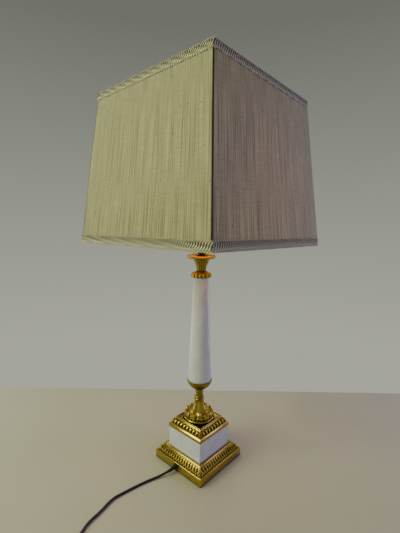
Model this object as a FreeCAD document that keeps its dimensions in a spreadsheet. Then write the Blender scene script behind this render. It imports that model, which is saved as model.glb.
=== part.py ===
import FreeCAD, Part

import math
import os

import Sketcher
from FreeCAD import Placement, Rotation, Vector

# A column table lamp. A square brass and porcelain base carries a turned stem, a white tapered
# column, a brass capital with its dish, and a lampholder with a square pyramid shade.
# Millimetres, +Z up. The origin is the middle of the base, on the table. The flex leaves through
# the base's -X face and lies on the table, with its switch, coil and plug.

SIZES = (
    # lower plinth, a square casting with an open underside
    ("base_side", 140),
    ("base_wall", 3.2),
    ("fascia_height", 18.2),
    ("band_height", 11),
    ("band_run", 13),
    ("lip_run", 3),
    ("lip_height", 2),
    ("seat_depth", 1),
    ("base_roof", 4.5),
    ("boss_radius", 6),
    ("boss_inset", 5.3),
    ("boss_height", 20),
    # what closes it below
    ("felt_thick", 1.5),
    ("felt_show", 0.8),
    ("plate_thick", 1.2),
    ("plate_clear", 0.3),
    ("hole_past", 1),
    ("plate_screw_radius", 1.4),
    ("plate_screw_length", 9),
    ("plate_head_radius", 3),
    ("plate_head_thick", 1),
    # ballast, and the nut that pulls the stem together
    ("ballast_side", 100),
    ("ballast_height", 14.5),
    ("nut_well_radius", 16),
    ("nut_well_depth", 7),
    ("base_washer_radius", 13),
    ("base_washer_thick", 1.5),
    ("lock_washer_radius", 8.6),
    ("lock_washer_thick", 1.2),
    ("nut_across_flats", 14),
    ("base_nut_thick", 5),
    ("top_nut_thick", 3),
    # hollow threaded rod
    ("rod_radius", 5),
    ("rod_bore", 3.7),
    ("rod_past_nut", 0.5),
    ("rod_in_neck", 8),
    ("thread_clear", 0.05),
    ("rod_clear", 0.4),
    # white block
    ("block_side", 97.4),
    ("block_height", 45),
    ("block_wall", 5),
    ("block_edge", 2.2),
    ("block_hole", 7.4),
    ("block_clear", 0.3),
    # upper plinth
    ("cap_side", 99),
    ("cap_height", 22),
    ("cap_fascia", 6),
    ("cap_step", 2.8),
    ("cap_band_height", 13),
    ("cap_band_run", 8.1),
    ("cap_rim_side", 75),
    ("cap_rim_width", 2.2),
    ("cap_rim_height", 2),
    ("cap_wall", 4.5),
    # brass foot
    ("foot_radius", 34.6),
    ("foot_ring", 3),
    ("foot_skirt_radius", 33.8),
    ("foot_skirt_top", 26),
    ("foot_skirt_height", 18),
    ("foot_height", 41),
    ("foot_neck", 9.6),
    ("foot_wall", 2.6),
    ("foot_groove", 0.4),
    # knop
    ("knop_height", 24),
    ("knop_radius", 9.8),
    ("knop_ring", 2.4),
    ("knop_waist", 8),
    ("knop_foot", 1.6),
    ("knop_groove", 0.6),
    # cup under the column
    ("cup_height", 27),
    ("cup_foot_radius", 9.6),
    ("cup_stem_height", 4),
    ("cup_stem_radius", 10),
    ("cup_rim_radius", 28.3),
    ("cup_rim_height", 2),
    ("cup_bowl_arc", 30),
    ("cup_wall", 1.3),
    ("cup_floor", 5.6),
    ("cup_floor_radius", 9),
    ("cup_washer_thick", 1.5),
    # column
    ("column_height", 254),
    ("column_top_radius", 17.7),
    ("column_wall", 4),
    ("column_clear", 0.3),
    ("column_hole", 6.4),
    # capital
    ("collar_height", 14),
    ("collar_radius", 23),
    ("collar_foot_radius", 19),
    ("collar_top_radius", 11.6),
    ("collar_spigot", 7),
    ("bead_height", 3.4),
    ("bead_radius", 11.4),
    ("tulip_height", 22.5),
    ("tulip_foot_radius", 10.3),
    ("tulip_waist_radius", 13.7),
    ("tulip_rim_radius", 18.2),
    ("tulip_waist_height", 12.5),
    ("tulip_wall", 1.6),
    ("dish_height", 13),
    ("dish_radius", 31.7),
    ("dish_rim", 1.6),
    ("dish_rim_level", 6),
    ("dish_top_radius", 12),
    ("dish_boss_radius", 8.6),
    ("dish_well_depth", 3.6),
    ("dish_well_radius", 10.2),
    # lampholder
    ("neck_radius", 8.2),
    ("neck_height", 12),
    ("neck_thread", 9),
    ("neck_shelf", 1),
    ("flex_hole", 4.2),
    ("holder_dome", 14),
    ("holder_skirt", 9),
    ("holder_radius", 19.6),
    ("holder_wall", 2.6),
    ("holder_ledge", 1.6),
    ("grub_radius", 1.5),
    ("grub_length", 3),
    ("insert_thick", 7),
    ("insert_clear", 0.3),
    ("terminal_reach", 9),
    ("terminal_side", 4.5),
    ("contact_strip_thick", 0.6),
    ("contact_strip_width", 5),
    ("contact_strip_length", 14),
    ("contact_button_radius", 2.5),
    ("contact_button_rise", 1.1),
    ("screw_shell_radius", 14.5),
    ("screw_shell_wall", 0.6),
    ("screw_shell_height", 23.5),
    ("flange_radius", 23),
    ("flange_thick", 3),
    ("thread_height", 31),
    # bulb
    ("bulb_radius", 30),
    ("bulb_height", 105),
    ("bulb_cap_radius", 13.2),
    ("bulb_cap_height", 21),
    ("bulb_cap_wall", 0.5),
    ("bulb_glass_wall", 0.8),
    ("bulb_neck_radius", 12.4),
    ("bulb_neck_depth", 4),
    ("bulb_cap_slope", 2),
    ("bulb_tip_radius", 4),
    ("bulb_tip_edge", 1),
    ("bulb_tip_height", 4.4),
    ("bulb_clear", 0.4),
    # shade ring, and the fitter that it clamps
    ("ring_radius", 28.5),
    ("ring_hub_radius", 24.5),
    ("ring_flange", 2.5),
    ("ring_height", 12),
    ("ring_clear", 0.3),
    ("fitter_radius", 27),
    ("fitter_thick", 1.6),
    ("fitter_clear", 0.6),
    ("fitter_drop", 18.3),
    ("spoke_start", 25.5),
    # shade
    ("shade_foot_side", 366),
    ("shade_top_side", 306),
    ("shade_height", 304),
    ("panel_thick", 1.2),
    ("panel_corner", 1.2),
    ("braid_thick", 1.5),
    ("braid_clear", 0.1),
    ("foot_braid_height", 18),
    ("top_braid_height", 16),
    ("piping_rise", 0.3),
    ("piping_clear", 0.2),
    ("wire_radius", 1.5),
    ("wire_clear", 0.3),
    ("wire_level", 2.2),
    ("wire_bend", 4),
    # flex, and the bush in the base that it leaves through
    ("cord_radius", 2.5),
    ("cord_exit_side", 4),
    ("cord_exit_level", 9.5),
    ("bush_radius", 5.5),
    ("bush_flange", 3),
    ("bush_edge", 1.2),
    ("bush_hub_radius", 4.4),
    ("bush_clear", 0.1),
    ("core_radius", 0.9),
    # in-line switch
    ("switch_length", 60),
    ("switch_width", 26),
    ("switch_split", 8),
    ("switch_height", 16),
    ("switch_wall", 1.8),
    ("switch_corner", 8),
    ("switch_edge", 2.4),
    ("rocker_length", 17.2),
    ("rocker_width", 10),
    ("rocker_rise", 1.6),
    ("rocker_depth", 3),
    ("rocker_dip", 1.2),
    ("rocker_slot_clear", 0.9),
    ("rocker_side_clear", 0.4),
    ("rocker_cam_half", 4),
    ("rocker_lip", 0.6),
    ("rocker_pin_radius", 1.2),
    ("rocker_pin_level", 12),
    ("rocker_pin_length", 13.6),
    ("rocker_pin_clear", 0.05),
    ("rocker_tilt", 7),
    ("rocker_lug_gap", 0.6),
    ("rocker_lug_thick", 2.6),
    ("rocker_lug_half", 3),
    ("switch_post_along", 22),
    ("switch_post_across", 7),
    ("switch_post_radius", 3),
    ("switch_screw_radius", 1.3),
    ("switch_screw_head", 2.2),
    ("screw_head_thick", 1),
    ("screw_sunk", 0.2),
    ("screw_in_upper", 3.6),
    ("switch_contact_side", 8),
    ("switch_contact_height", 4),
    ("switch_contact_reach", 12),
    # plug
    ("plug_length", 36),
    ("plug_width", 35.3),
    ("plug_thick", 13.7),
    ("plug_tail_width", 12),
    ("plug_shoulder", 14),
    ("plug_flare", 9),
    ("plug_bevel", 4),
    ("plug_edge", 2.5),
    ("pin_radius", 2),
    ("pin_length", 19),
    ("pin_pitch", 18.6),
)

# Arcs in the turned sections, each as a multiple of the length that it spans. A full bead's arc is
# a little over half its height, so that it stays under a half circle.
FULL_BULGE = 1.02
FLAT_BULGE = 1.1
SKIRT_ARC = 2.4
TRUMPET_ARC = 1.4
COLLAR_EDGE = 0.36
COLLAR_FOOT_ARC = 0.6
COLLAR_TOP_ARC = 0.85
TULIP_FOOT_ARC = 1.6
TULIP_RIM_ARC = 0.8
DISH_UNDER_ARC = 1.2
DISH_TOP_ARC = 1.1
DOME_ARC = 1.5
BULB_NECK_ARC = 3.2

# A flex's bend takes this much of the shorter of its two runs.
BEND_SHARE = 0.45

doc = FreeCAD.newDocument("ColumnTableLamp")


class Size:
    """A length that knows its number and the formula that gives it from the sheets."""

    def __init__(self, number, formula):
        self.number = float(number)
        self.formula = formula

    def __add__(self, other):
        other = length(other)
        return Size(self.number + other.number, f"({self.formula} + {other.formula})")

    def __radd__(self, other):
        return length(other) + self

    def __sub__(self, other):
        other = length(other)
        return Size(self.number - other.number, f"({self.formula} - {other.formula})")

    def __rsub__(self, other):
        return length(other) - self

    def __mul__(self, other):
        other = length(other)
        return Size(self.number * other.number, f"({self.formula} * {other.formula})")

    def __rmul__(self, other):
        return length(other) * self

    def __truediv__(self, other):
        other = length(other)
        return Size(self.number / other.number, f"({self.formula} / {other.formula})")

    def __neg__(self):
        return Size(-self.number, f"(0 - {self.formula})")


def length(value):
    return value if isinstance(value, Size) else Size(value, f"{float(value):.9g}")


class Sheet:
    """A spreadsheet whose aliases are also this object's attributes."""

    def __init__(self, name):
        self.name = name
        self.cells = doc.addObject("Spreadsheet::Sheet", name)
        self.rows = 0

    def put(self, alias, content, number):
        self.rows += 1
        self.cells.set(f"A{self.rows}", alias)
        self.cells.set(f"B{self.rows}", content)
        self.cells.setAlias(f"B{self.rows}", alias)
        setattr(self, alias, Size(number, f"{self.name}.{alias}"))


size = Sheet("Sizes")
for alias, number in SIZES:
    size.put(alias, str(number), number)

at = Sheet("Places")


def place(alias, value):
    at.put(alias, "=" + value.formula, value.number)


# Heights up the stem, each from the one below it.
place("base_half", size.base_side / 2)
place("cavity_half", at.base_half - size.base_wall)
place("band_half", at.base_half - size.band_run)
place("fascia_top", size.felt_show + size.fascia_height)
place("band_top", at.fascia_top + size.band_height)
place("lip_top", at.band_top + size.lip_height)
place("block_level", at.lip_top - size.seat_depth)
place("cavity_top", at.block_level - size.base_roof)
place("plate_top", size.felt_thick + size.plate_thick)
place("ballast_level", at.cavity_top - size.ballast_height)
place("well_top", at.ballast_level + size.nut_well_depth)
place("lock_washer_top", at.well_top - size.base_washer_thick)
place("base_nut_top", at.lock_washer_top - size.lock_washer_thick)
place("rod_foot", at.base_nut_top - size.base_nut_thick - size.rod_past_nut)
place("rod_hole", size.rod_radius + size.rod_clear)
place("cap_level", at.block_level + size.block_height)
place("foot_level", at.cap_level + size.cap_height)
place("knop_level", at.foot_level + size.foot_height)
place("cup_level", at.knop_level + size.knop_height)
place("cup_floor_level", at.cup_level + size.cup_floor)
place("cup_top", at.cup_level + size.cup_height)
place("column_level", at.cup_floor_level + size.cup_washer_thick)
place("column_mouth", at.cup_top + size.cup_washer_thick)
place("column_radius", size.cup_rim_radius - size.cup_wall - size.column_clear)
place("collar_level", at.column_level + size.column_height)
place("bead_level", at.collar_level + size.collar_height)
place("tulip_level", at.bead_level + size.bead_height)
place("dish_level", at.tulip_level + size.tulip_height)
place("neck_level", at.dish_level + size.dish_height)
place("rod_top", at.neck_level + size.rod_in_neck)
place("dome_level", at.neck_level + size.neck_height)
place("skirt_level", at.dome_level + size.holder_dome)
place("flange_level", at.skirt_level + size.holder_skirt)
place("thread_level", at.flange_level + size.flange_thick)
place("holder_bore", size.holder_radius - size.holder_wall)
place("insert_level", at.skirt_level + size.holder_ledge)
place("insert_top", at.insert_level + size.insert_thick)
place("contact_top", at.insert_top + size.contact_strip_thick + size.contact_button_rise)
place("bulb_level", at.contact_top + size.bulb_clear)
place("fitter_level", at.thread_level + size.ring_clear)
place("ring_level", at.fitter_level + size.fitter_thick + size.ring_clear)
place("shade_level", at.fitter_level - size.fitter_drop)
place("shade_top", at.shade_level + size.shade_height)
place("shade_slope", (size.shade_foot_side - size.shade_top_side) / 2 / size.shade_height)
place("panel_foot_half", size.shade_foot_side / 2 - size.braid_thick - size.braid_clear)
place("plug_axis", size.plug_thick / 2)

kept = []


def keep(piece):
    # a finished piece, written out under its label
    kept.append(piece)
    return piece


def add_body(label):
    piece = doc.addObject("PartDesign::Body", label)
    piece.Label = label
    return piece


def set_value(thing, name, value):
    # binds one property of a feature to a formula, through its number
    value = length(value)
    setattr(thing, name, value.number)
    thing.setExpression(name, value.formula)


def add_sketch(body, role, away=0):
    # a sketch on one of the body's origin planes, moved along the plane's normal
    planes = [plane for plane in body.Origin.OriginFeatures if plane.Role == role]
    sketch = body.newObject("Sketcher::SketchObject", f"{body.Name}_sketch")
    sketch.AttachmentSupport = [(planes[0], "")]
    sketch.MapMode = "FlatFace"
    away = length(away)
    sketch.AttachmentOffset = Placement(Vector(0, 0, away.number), Rotation())
    sketch.setExpression("AttachmentOffset.Base.z", away.formula)
    return sketch


def fix(sketch, kind, geometry, point, value):
    number = sketch.addConstraint(
        Sketcher.Constraint(kind, -1, 1, geometry, point, value.number)
    )
    sketch.setExpression(f"Constraints[{number}]", value.formula)


def draw(sketch, corners):
    # A closed outline. A corner is (across, up), or (across, up, radius) where an arc arrives at
    # it, turning left on its way for a radius above zero and right for one below.
    ends = [(length(corner[0]), length(corner[1])) for corner in corners]
    drawn = []
    for number, corner in enumerate(corners):
        before, here = ends[number - 1], ends[number]
        start = Vector(before[0].number, before[1].number)
        stop = Vector(here[0].number, here[1].number)
        if len(corner) == 2:
            drawn.append((sketch.addGeometry(Part.LineSegment(start, stop)), 1, 2))
            continue
        radius = length(corner[2])
        if radius.number < 0:
            start, stop = stop, start
        chord = stop - start
        side = Vector(-chord.y, chord.x, 0).normalize()
        reach = abs(radius.number)
        centre = (start + stop) / 2 + side * math.sqrt(reach**2 - chord.Length**2 / 4)
        angles = [math.atan2(end.y - centre.y, end.x - centre.x) for end in (start, stop)]
        circle = Part.Circle(centre, Vector(0, 0, 1), reach)
        arc = sketch.addGeometry(Part.ArcOfCircle(circle, *angles))
        drawn.append((arc, 1, 2) if radius.number > 0 else (arc, 2, 1))
    for number, (geometry, _, finish) in enumerate(drawn):
        following, beginning, _ = drawn[(number + 1) % len(drawn)]
        sketch.addConstraint(
            Sketcher.Constraint("Coincident", geometry, finish, following, beginning)
        )
        fix(sketch, "DistanceX", geometry, finish, ends[number][0])
        fix(sketch, "DistanceY", geometry, finish, ends[number][1])
        if len(corners[number]) == 3:
            radius = length(corners[number][2])
            radius = radius if radius.number > 0 else -radius
            bend = sketch.addConstraint(
                Sketcher.Constraint("Radius", geometry, radius.number)
            )
            sketch.setExpression(f"Constraints[{bend}]", radius.formula)


def draw_circles(sketch, radius, centres):
    radius = length(radius)
    for across, up in centres:
        across, up = length(across), length(up)
        middle = Vector(across.number, up.number, 0)
        circle = sketch.addGeometry(Part.Circle(middle, Vector(0, 0, 1), radius.number))
        fix(sketch, "DistanceX", circle, 3, across)
        fix(sketch, "DistanceY", circle, 3, up)
        number = sketch.addConstraint(Sketcher.Constraint("Radius", circle, radius.number))
        sketch.setExpression(f"Constraints[{number}]", radius.formula)


def oblong(half_x, half_y):
    return ((-half_x, -half_y), (half_x, -half_y), (half_x, half_y), (-half_x, half_y))


def rounded_oblong(half_x, half_y, corner):
    flat_x, flat_y = half_x - corner, half_y - corner
    return (
        (-flat_x, -half_y, corner),
        (flat_x, -half_y),
        (half_x, -flat_y, corner),
        (half_x, flat_y),
        (flat_x, half_y, corner),
        (-flat_x, half_y),
        (-half_x, flat_y, corner),
        (-half_x, -flat_y),
    )


def square(half):
    half = length(half)
    return oblong(half, half)


def hexagon(across_flats):
    # flats face +Y and -Y
    reach = across_flats / math.sqrt(3)
    slant = across_flats / 2
    return (
        (reach, 0 * slant),
        (reach / 2, slant),
        (-reach / 2, slant),
        (-reach, 0 * slant),
        (-reach / 2, -slant),
        (reach / 2, -slant),
    )


def pad(body, sketch, height):
    feature = body.newObject("PartDesign::Pad", f"{body.Name}_pad")
    feature.Profile = sketch
    set_value(feature, "Length", height)
    sketch.Visibility = False
    return feature


def cut(body, sketch, depth, forward=True):
    # a pocket that runs along the sketch's normal, or against it
    doc.recompute()
    before = body.Shape.Volume
    feature = body.newObject("PartDesign::Pocket", f"{body.Name}_pocket")
    feature.Profile = sketch
    feature.Reversed = forward
    set_value(feature, "Length", depth)
    doc.recompute()
    if body.Shape.Volume > before - 0.01:
        raise ValueError(f"{body.Label}: {feature.Name} cuts nothing")
    return feature


def frustum(body, foot, top, kind="PartDesign::AdditiveLoft"):
    # a square block that narrows, from (half, level) to (half, level)
    ends = []
    for half, level in (foot, top):
        sketch = add_sketch(body, "XY_Plane", level)
        draw(sketch, square(half))
        ends.append(sketch)
    feature = body.newObject(kind, f"{body.Name}_frustum")
    feature.Profile = ends[0]
    feature.Sections = [ends[1]]
    feature.Ruled = True
    return feature


def square_prism(body, half, level, height):
    sketch = add_sketch(body, "XY_Plane", level)
    draw(sketch, square(half))
    return pad(body, sketch, height)


def square_cut(body, half, level, depth, forward=True):
    sketch = add_sketch(body, "XY_Plane", level)
    draw(sketch, square(half))
    return cut(body, sketch, depth, forward)


def drill(body, radius, level, depth, centres=((0, 0),), forward=True):
    # round holes that start at a level and run up, or down
    sketch = add_sketch(body, "XY_Plane", level)
    draw_circles(sketch, radius, centres)
    return cut(body, sketch, depth, forward)


def turned(label, corners, angle=360):
    # a round piece: its half section, in (radius, height), turned about the Z axis
    body = add_body(label)
    sketch = add_sketch(body, "XZ_Plane")
    draw(sketch, corners)
    feature = body.newObject("PartDesign::Revolution", f"{label}_turn")
    feature.Profile = sketch
    feature.ReferenceAxis = (sketch, ["V_Axis"])
    feature.Angle = angle
    return body


def washer(label, radius, bore, level, thick, angle=360):
    corners = ((bore, level), (radius, level), (radius, level + thick), (bore, level + thick))
    return keep(turned(label, corners, angle))


def round_upright_edges(body, radius):
    # fillets the tip's upright edges
    doc.recompute()
    tip = body.Tip
    names = []
    for number, edge in enumerate(tip.Shape.Edges, 1):
        box = edge.BoundBox
        if box.XLength < 0.001 and box.YLength < 0.001 and box.ZLength > 1:
            names.append(f"Edge{number}")
    feature = body.newObject("PartDesign::Fillet", f"{body.Name}_fillet")
    feature.Base = (tip, names)
    set_value(feature, "Radius", radius)
    return feature


def round_rim(body, radius, level):
    # fillets the outer edges that lie flat at one level
    doc.recompute()
    tip = body.Tip
    reach = max(tip.Shape.BoundBox.XMax, tip.Shape.BoundBox.YMax)
    names = []
    for number, edge in enumerate(tip.Shape.Edges, 1):
        box = edge.BoundBox
        flat = box.ZLength < 0.001 and abs(box.ZMin - level.number) < 0.001
        outside = max(box.XMax, -box.XMin, box.YMax, -box.YMin) > reach * 0.4
        if flat and outside:
            names.append(f"Edge{number}")
    feature = body.newObject("PartDesign::Fillet", f"{body.Name}_rim")
    feature.Base = (tip, names)
    set_value(feature, "Radius", radius)
    return feature


def add_shape(label, shape, placement=None):
    # a piece whose shape is worked out here from the sheet's numbers
    piece = doc.addObject("Part::Feature", label)
    piece.Label = label
    piece.Shape = shape
    if placement is not None:
        piece.Placement = placement
    return keep(piece)


def group(label, master, placements):
    # identical pieces that share one node, as separate solids
    doc.recompute()
    copies = []
    for placement in placements:
        shape = master.Shape.copy()
        shape.Placement = placement.multiply(shape.Placement)
        copies.append(shape)
    return add_shape(label, Part.makeCompound(copies))


def quarter_turns():
    return [Placement(Vector(), Rotation(Vector(0, 0, 1), turn)) for turn in (0, 90, 180, 270)]


def drop_lengths(points):
    return [Vector(*(length(value).number for value in point)) for point in points]


def rounded_path(label, points, bends=None):
    # Straight runs joined by tangent arcs. An arc takes its share of the shorter of its two runs,
    # or the radius that bends gives for the point's number.
    bends = bends or {}
    points = drop_lengths(points)
    edges = []
    radii = []
    start = points[0]
    for number in range(1, len(points) - 1):
        corner = points[number]
        into = corner - points[number - 1]
        onward = points[number + 1] - corner
        half_turn = into.getAngle(onward) / 2
        shorter = min(into.Length, onward.Length)
        radius = bends.get(number, BEND_SHARE * shorter / math.tan(half_turn))
        setback = radius * math.tan(half_turn)
        arc_start = corner - into.normalize() * setback
        arc_end = corner + onward.normalize() * setback
        inward = (onward - into).normalize()
        middle = corner + inward * (radius / math.cos(half_turn) - radius)
        edges.append(Part.LineSegment(start, arc_start).toShape())
        edges.append(Part.Arc(arc_start, middle, arc_end).toShape())
        radii.append(round(radius, 1))
        start = arc_end
    edges.append(Part.LineSegment(start, points[-1]).toShape())
    print(f"{label}: bend radii {radii}")
    return Part.Wire(edges)


def tube(label, path, radius):
    # a round tube along a path, its volume compared with section times length
    first = path.OrderedEdges[0]
    start = first.valueAt(first.FirstParameter)
    heading = first.tangentAt(first.FirstParameter)
    ring = Part.Wire(Part.makeCircle(radius, start, heading))
    shape = path.makePipeShell([ring], True, False)
    share = shape.Volume / (math.pi * radius**2 * path.Length)
    print(f"{label}: {path.Length:.1f} mm long, volume over section times length {share:.4f}")
    return shape


# ---- lower plinth ----------------------------------------------------------------------------

boss_reach = at.cavity_half - size.boss_inset
boss_centres = [(boss_reach * x, boss_reach * y) for x in (-1, 1) for y in (-1, 1)]

plinth = add_body("lower_plinth")
square_prism(plinth, at.base_half, size.felt_show, size.fascia_height)
frustum(plinth, (at.base_half, at.fascia_top), (at.band_half, at.band_top))
square_prism(plinth, at.band_half - size.lip_run, at.band_top, size.lip_height)
square_cut(
    plinth, size.block_side / 2 + size.block_clear, at.lip_top, size.seat_depth, forward=False
)
cavity_shoulder = at.cavity_top - size.band_height
square_cut(plinth, at.cavity_half, size.felt_show, cavity_shoulder - size.felt_show)
frustum(
    plinth,
    (at.cavity_half, cavity_shoulder),
    (at.band_half - size.base_wall, at.cavity_top),
    "PartDesign::SubtractiveLoft",
)
boss_sketch = add_sketch(plinth, "XY_Plane", at.plate_top)
draw_circles(boss_sketch, size.boss_radius, boss_centres)
pad(plinth, boss_sketch, size.boss_height)
drill(
    plinth,
    size.plate_screw_radius + size.thread_clear,
    at.plate_top,
    size.plate_screw_length,
    boss_centres,
)
drill(plinth, at.rod_hole, at.block_level, size.base_roof + size.hole_past, forward=False)
exit_sketch = add_sketch(plinth, "YZ_Plane", -at.base_half)
exit_radius = size.bush_hub_radius + size.bush_clear
draw_circles(exit_sketch, exit_radius, [(size.cord_exit_side, size.cord_exit_level)])
cut(plinth, exit_sketch, size.base_wall + size.hole_past)
keep(plinth)

# ---- felt, plate and its screws --------------------------------------------------------------

pad_half = at.cavity_half - size.plate_clear

felt = add_body("felt_pad")
square_prism(felt, pad_half, 0, size.felt_thick)
drill(
    felt,
    size.plate_head_radius + size.plate_clear,
    0,
    size.felt_thick + size.hole_past,
    boss_centres,
)
keep(felt)

plate = add_body("base_plate")
square_prism(plate, pad_half, size.felt_thick, size.plate_thick)
drill(
    plate,
    size.plate_screw_radius + size.plate_clear,
    size.felt_thick,
    size.plate_thick + size.hole_past,
    boss_centres,
)
keep(plate)

head_level = size.felt_thick - size.plate_head_thick
screw_end = at.plate_top + size.plate_screw_length - size.plate_head_thick
plate_screw = turned(
    "plate_screw",
    (
        (0, head_level),
        (size.plate_head_radius, head_level),
        (size.plate_head_radius, size.felt_thick),
        (size.plate_screw_radius, size.felt_thick),
        (size.plate_screw_radius, screw_end),
        (0, screw_end),
    ),
)
group(
    "base_plate_screws",
    plate_screw,
    [Placement(Vector(x.number, y.number, 0), Rotation()) for x, y in boss_centres],
)

# ---- ballast, nuts and rod -------------------------------------------------------------------

ballast = add_body("ballast")
square_prism(ballast, size.ballast_side / 2, at.ballast_level, size.ballast_height)
drill(ballast, size.nut_well_radius, at.ballast_level, size.nut_well_depth)
drill(
    ballast, at.rod_hole, at.well_top, size.ballast_height - size.nut_well_depth + size.hole_past
)
keep(ballast)

thread_hole = size.rod_radius + size.thread_clear
washer(
    "base_washer",
    size.base_washer_radius,
    at.rod_hole,
    at.lock_washer_top,
    size.base_washer_thick,
)
washer(
    "base_lock_washer",
    size.lock_washer_radius,
    at.rod_hole,
    at.base_nut_top,
    size.lock_washer_thick,
    345,
)


def nut(label, level, thick):
    body = add_body(label)
    sketch = add_sketch(body, "XY_Plane", level)
    draw(sketch, hexagon(size.nut_across_flats))
    pad(body, sketch, thick)
    drill(body, thread_hole, level, thick + size.hole_past)
    return keep(body)


nut("base_nut", at.base_nut_top - size.base_nut_thick, size.base_nut_thick)
well_floor = at.neck_level - size.dish_well_depth
nut("top_lock_nut", well_floor, size.top_nut_thick)

keep(
    turned(
        "threaded_rod",
        (
            (size.rod_bore, at.rod_foot),
            (size.rod_radius, at.rod_foot),
            (size.rod_radius, at.rod_top),
            (size.rod_bore, at.rod_top),
        ),
    )
)

# ---- white block -----------------------------------------------------------------------------

block_half = size.block_side / 2
block = add_body("plinth_block")
square_prism(block, block_half, at.block_level, size.block_height)
round_upright_edges(block, size.block_edge)
square_cut(
    block, block_half - size.block_wall, at.block_level, size.block_height - size.block_wall
)
drill(
    block, size.block_hole, at.cap_level, size.block_wall + size.hole_past, forward=False
)
keep(block)

# ---- upper plinth ----------------------------------------------------------------------------

cap_half = size.cap_side / 2
cap_band_half = cap_half - size.cap_step
cap_fascia_top = at.cap_level + size.cap_fascia
cap_band_top = cap_fascia_top + size.cap_band_height
cap_rim_half = size.cap_rim_side / 2
cap_roof = at.foot_level - size.cap_wall

cap = add_body("upper_plinth")
square_prism(cap, cap_half, at.cap_level, size.cap_fascia)
frustum(
    cap, (cap_band_half, cap_fascia_top), (cap_band_half - size.cap_band_run, cap_band_top)
)
rim_height = at.foot_level + size.cap_rim_height - cap_band_top
square_prism(cap, cap_rim_half, cap_band_top, rim_height)
square_cut(
    cap,
    cap_rim_half - size.cap_rim_width,
    at.foot_level + size.cap_rim_height,
    size.cap_rim_height,
    forward=False,
)
square_cut(cap, cap_band_half - size.cap_wall, at.cap_level, size.cap_fascia)
frustum(
    cap,
    (cap_band_half - size.cap_wall, cap_fascia_top),
    (cap_band_half - size.cap_wall - size.cap_band_run, cap_roof),
    "PartDesign::SubtractiveLoft",
)
drill(cap, at.rod_hole, at.foot_level, size.cap_wall + size.hole_past, forward=False)
keep(cap)

# ---- foot, knop and cup ----------------------------------------------------------------------

ring_inner = size.foot_radius - size.foot_ring
ring_top = at.foot_level + size.foot_ring * 2
skirt_top = ring_top + size.foot_skirt_height
trumpet_foot = size.foot_skirt_top - size.foot_wall / 2
keep(
    turned(
        "foot",
        (
            (ring_inner, at.foot_level),
            (ring_inner, ring_top, size.foot_ring * FULL_BULGE),
            (size.foot_skirt_radius, ring_top + size.foot_groove),
            (size.foot_skirt_top, skirt_top, size.foot_skirt_height * SKIRT_ARC),
            (trumpet_foot, skirt_top),
            (size.foot_neck, at.knop_level, -(size.foot_skirt_height * TRUMPET_ARC)),
            (at.rod_hole, at.knop_level),
            (at.rod_hole, at.knop_level - size.foot_wall * 2),
            (trumpet_foot - size.foot_wall * 2, skirt_top),
            (size.foot_skirt_top - size.foot_wall, skirt_top - size.foot_wall),
            (ring_inner - size.foot_wall, ring_top),
            (ring_inner - size.foot_wall, at.foot_level),
        ),
    )
)

knop_ring_one = at.knop_level + size.knop_foot
knop_ring_two = knop_ring_one + size.knop_ring * 2 + size.knop_groove
knop_rings_top = knop_ring_two + size.knop_ring * 2
keep(
    turned(
        "knop",
        (
            (at.rod_hole, at.knop_level),
            (size.knop_radius, at.knop_level),
            (size.knop_radius, knop_ring_one),
            (size.knop_radius, knop_ring_one + size.knop_ring * 2, size.knop_ring * FLAT_BULGE),
            (size.knop_radius, knop_ring_two),
            (size.knop_radius, knop_rings_top, size.knop_ring * FLAT_BULGE),
            (size.knop_waist, (knop_rings_top + at.cup_level) / 2),
            (size.cup_foot_radius, at.cup_level),
            (at.rod_hole, at.cup_level),
        ),
    )
)

cup_arc_inner = size.cup_bowl_arc - size.cup_wall
cup_bore_radius = size.cup_rim_radius - size.cup_wall
cup_stem_top = at.cup_level + size.cup_stem_height
cup_rim_level = at.cup_top - size.cup_rim_height
keep(
    turned(
        "column_cup",
        (
            (at.rod_hole, at.cup_level),
            (size.cup_foot_radius, at.cup_level),
            (size.cup_stem_radius, cup_stem_top),
            (size.cup_rim_radius, cup_rim_level, size.cup_bowl_arc),
            (size.cup_rim_radius, at.cup_top),
            (cup_bore_radius, at.cup_top),
            (size.cup_floor_radius, at.cup_floor_level, -cup_arc_inner),
            (at.rod_hole, at.cup_floor_level),
        ),
    )
)
washer(
    "cup_washer",
    size.cup_floor_radius - size.column_clear,
    at.rod_hole,
    at.cup_floor_level,
    size.cup_washer_thick,
)

# ---- column ----------------------------------------------------------------------------------

column_seat_radius = size.cup_floor_radius - size.column_clear
column_bore = size.column_top_radius - size.column_wall
column_hollow = at.column_radius - size.column_wall
keep(
    turned(
        "column",
        (
            (size.column_hole, at.column_level),
            (column_seat_radius, at.column_level),
            (at.column_radius, at.column_mouth, cup_arc_inner),
            (size.column_top_radius, at.collar_level),
            (column_bore, at.collar_level),
            (column_hollow, at.column_mouth),
            (column_seat_radius, at.column_level + size.column_wall),
            (size.column_hole, at.column_level + size.column_wall),
        ),
    )
)

# ---- capital ---------------------------------------------------------------------------------

collar_edge = at.collar_level + size.collar_height * COLLAR_EDGE
spigot_radius = column_bore - size.column_clear * 2
keep(
    turned(
        "collar",
        (
            (at.rod_hole, at.collar_level - size.collar_spigot),
            (spigot_radius, at.collar_level - size.collar_spigot),
            (spigot_radius, at.collar_level),
            (size.collar_foot_radius, at.collar_level),
            (size.collar_radius, collar_edge, size.collar_height * COLLAR_FOOT_ARC),
            (size.collar_top_radius, at.bead_level, size.collar_radius * COLLAR_TOP_ARC),
            (at.rod_hole, at.bead_level),
        ),
    )
)
bead_core = size.bead_radius - size.bead_height / 2
keep(
    turned(
        "collar_bead",
        (
            (at.rod_hole, at.bead_level),
            (bead_core, at.bead_level),
            (bead_core, at.tulip_level, size.bead_height / 2 * FULL_BULGE),
            (at.rod_hole, at.tulip_level),
        ),
    )
)

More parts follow.
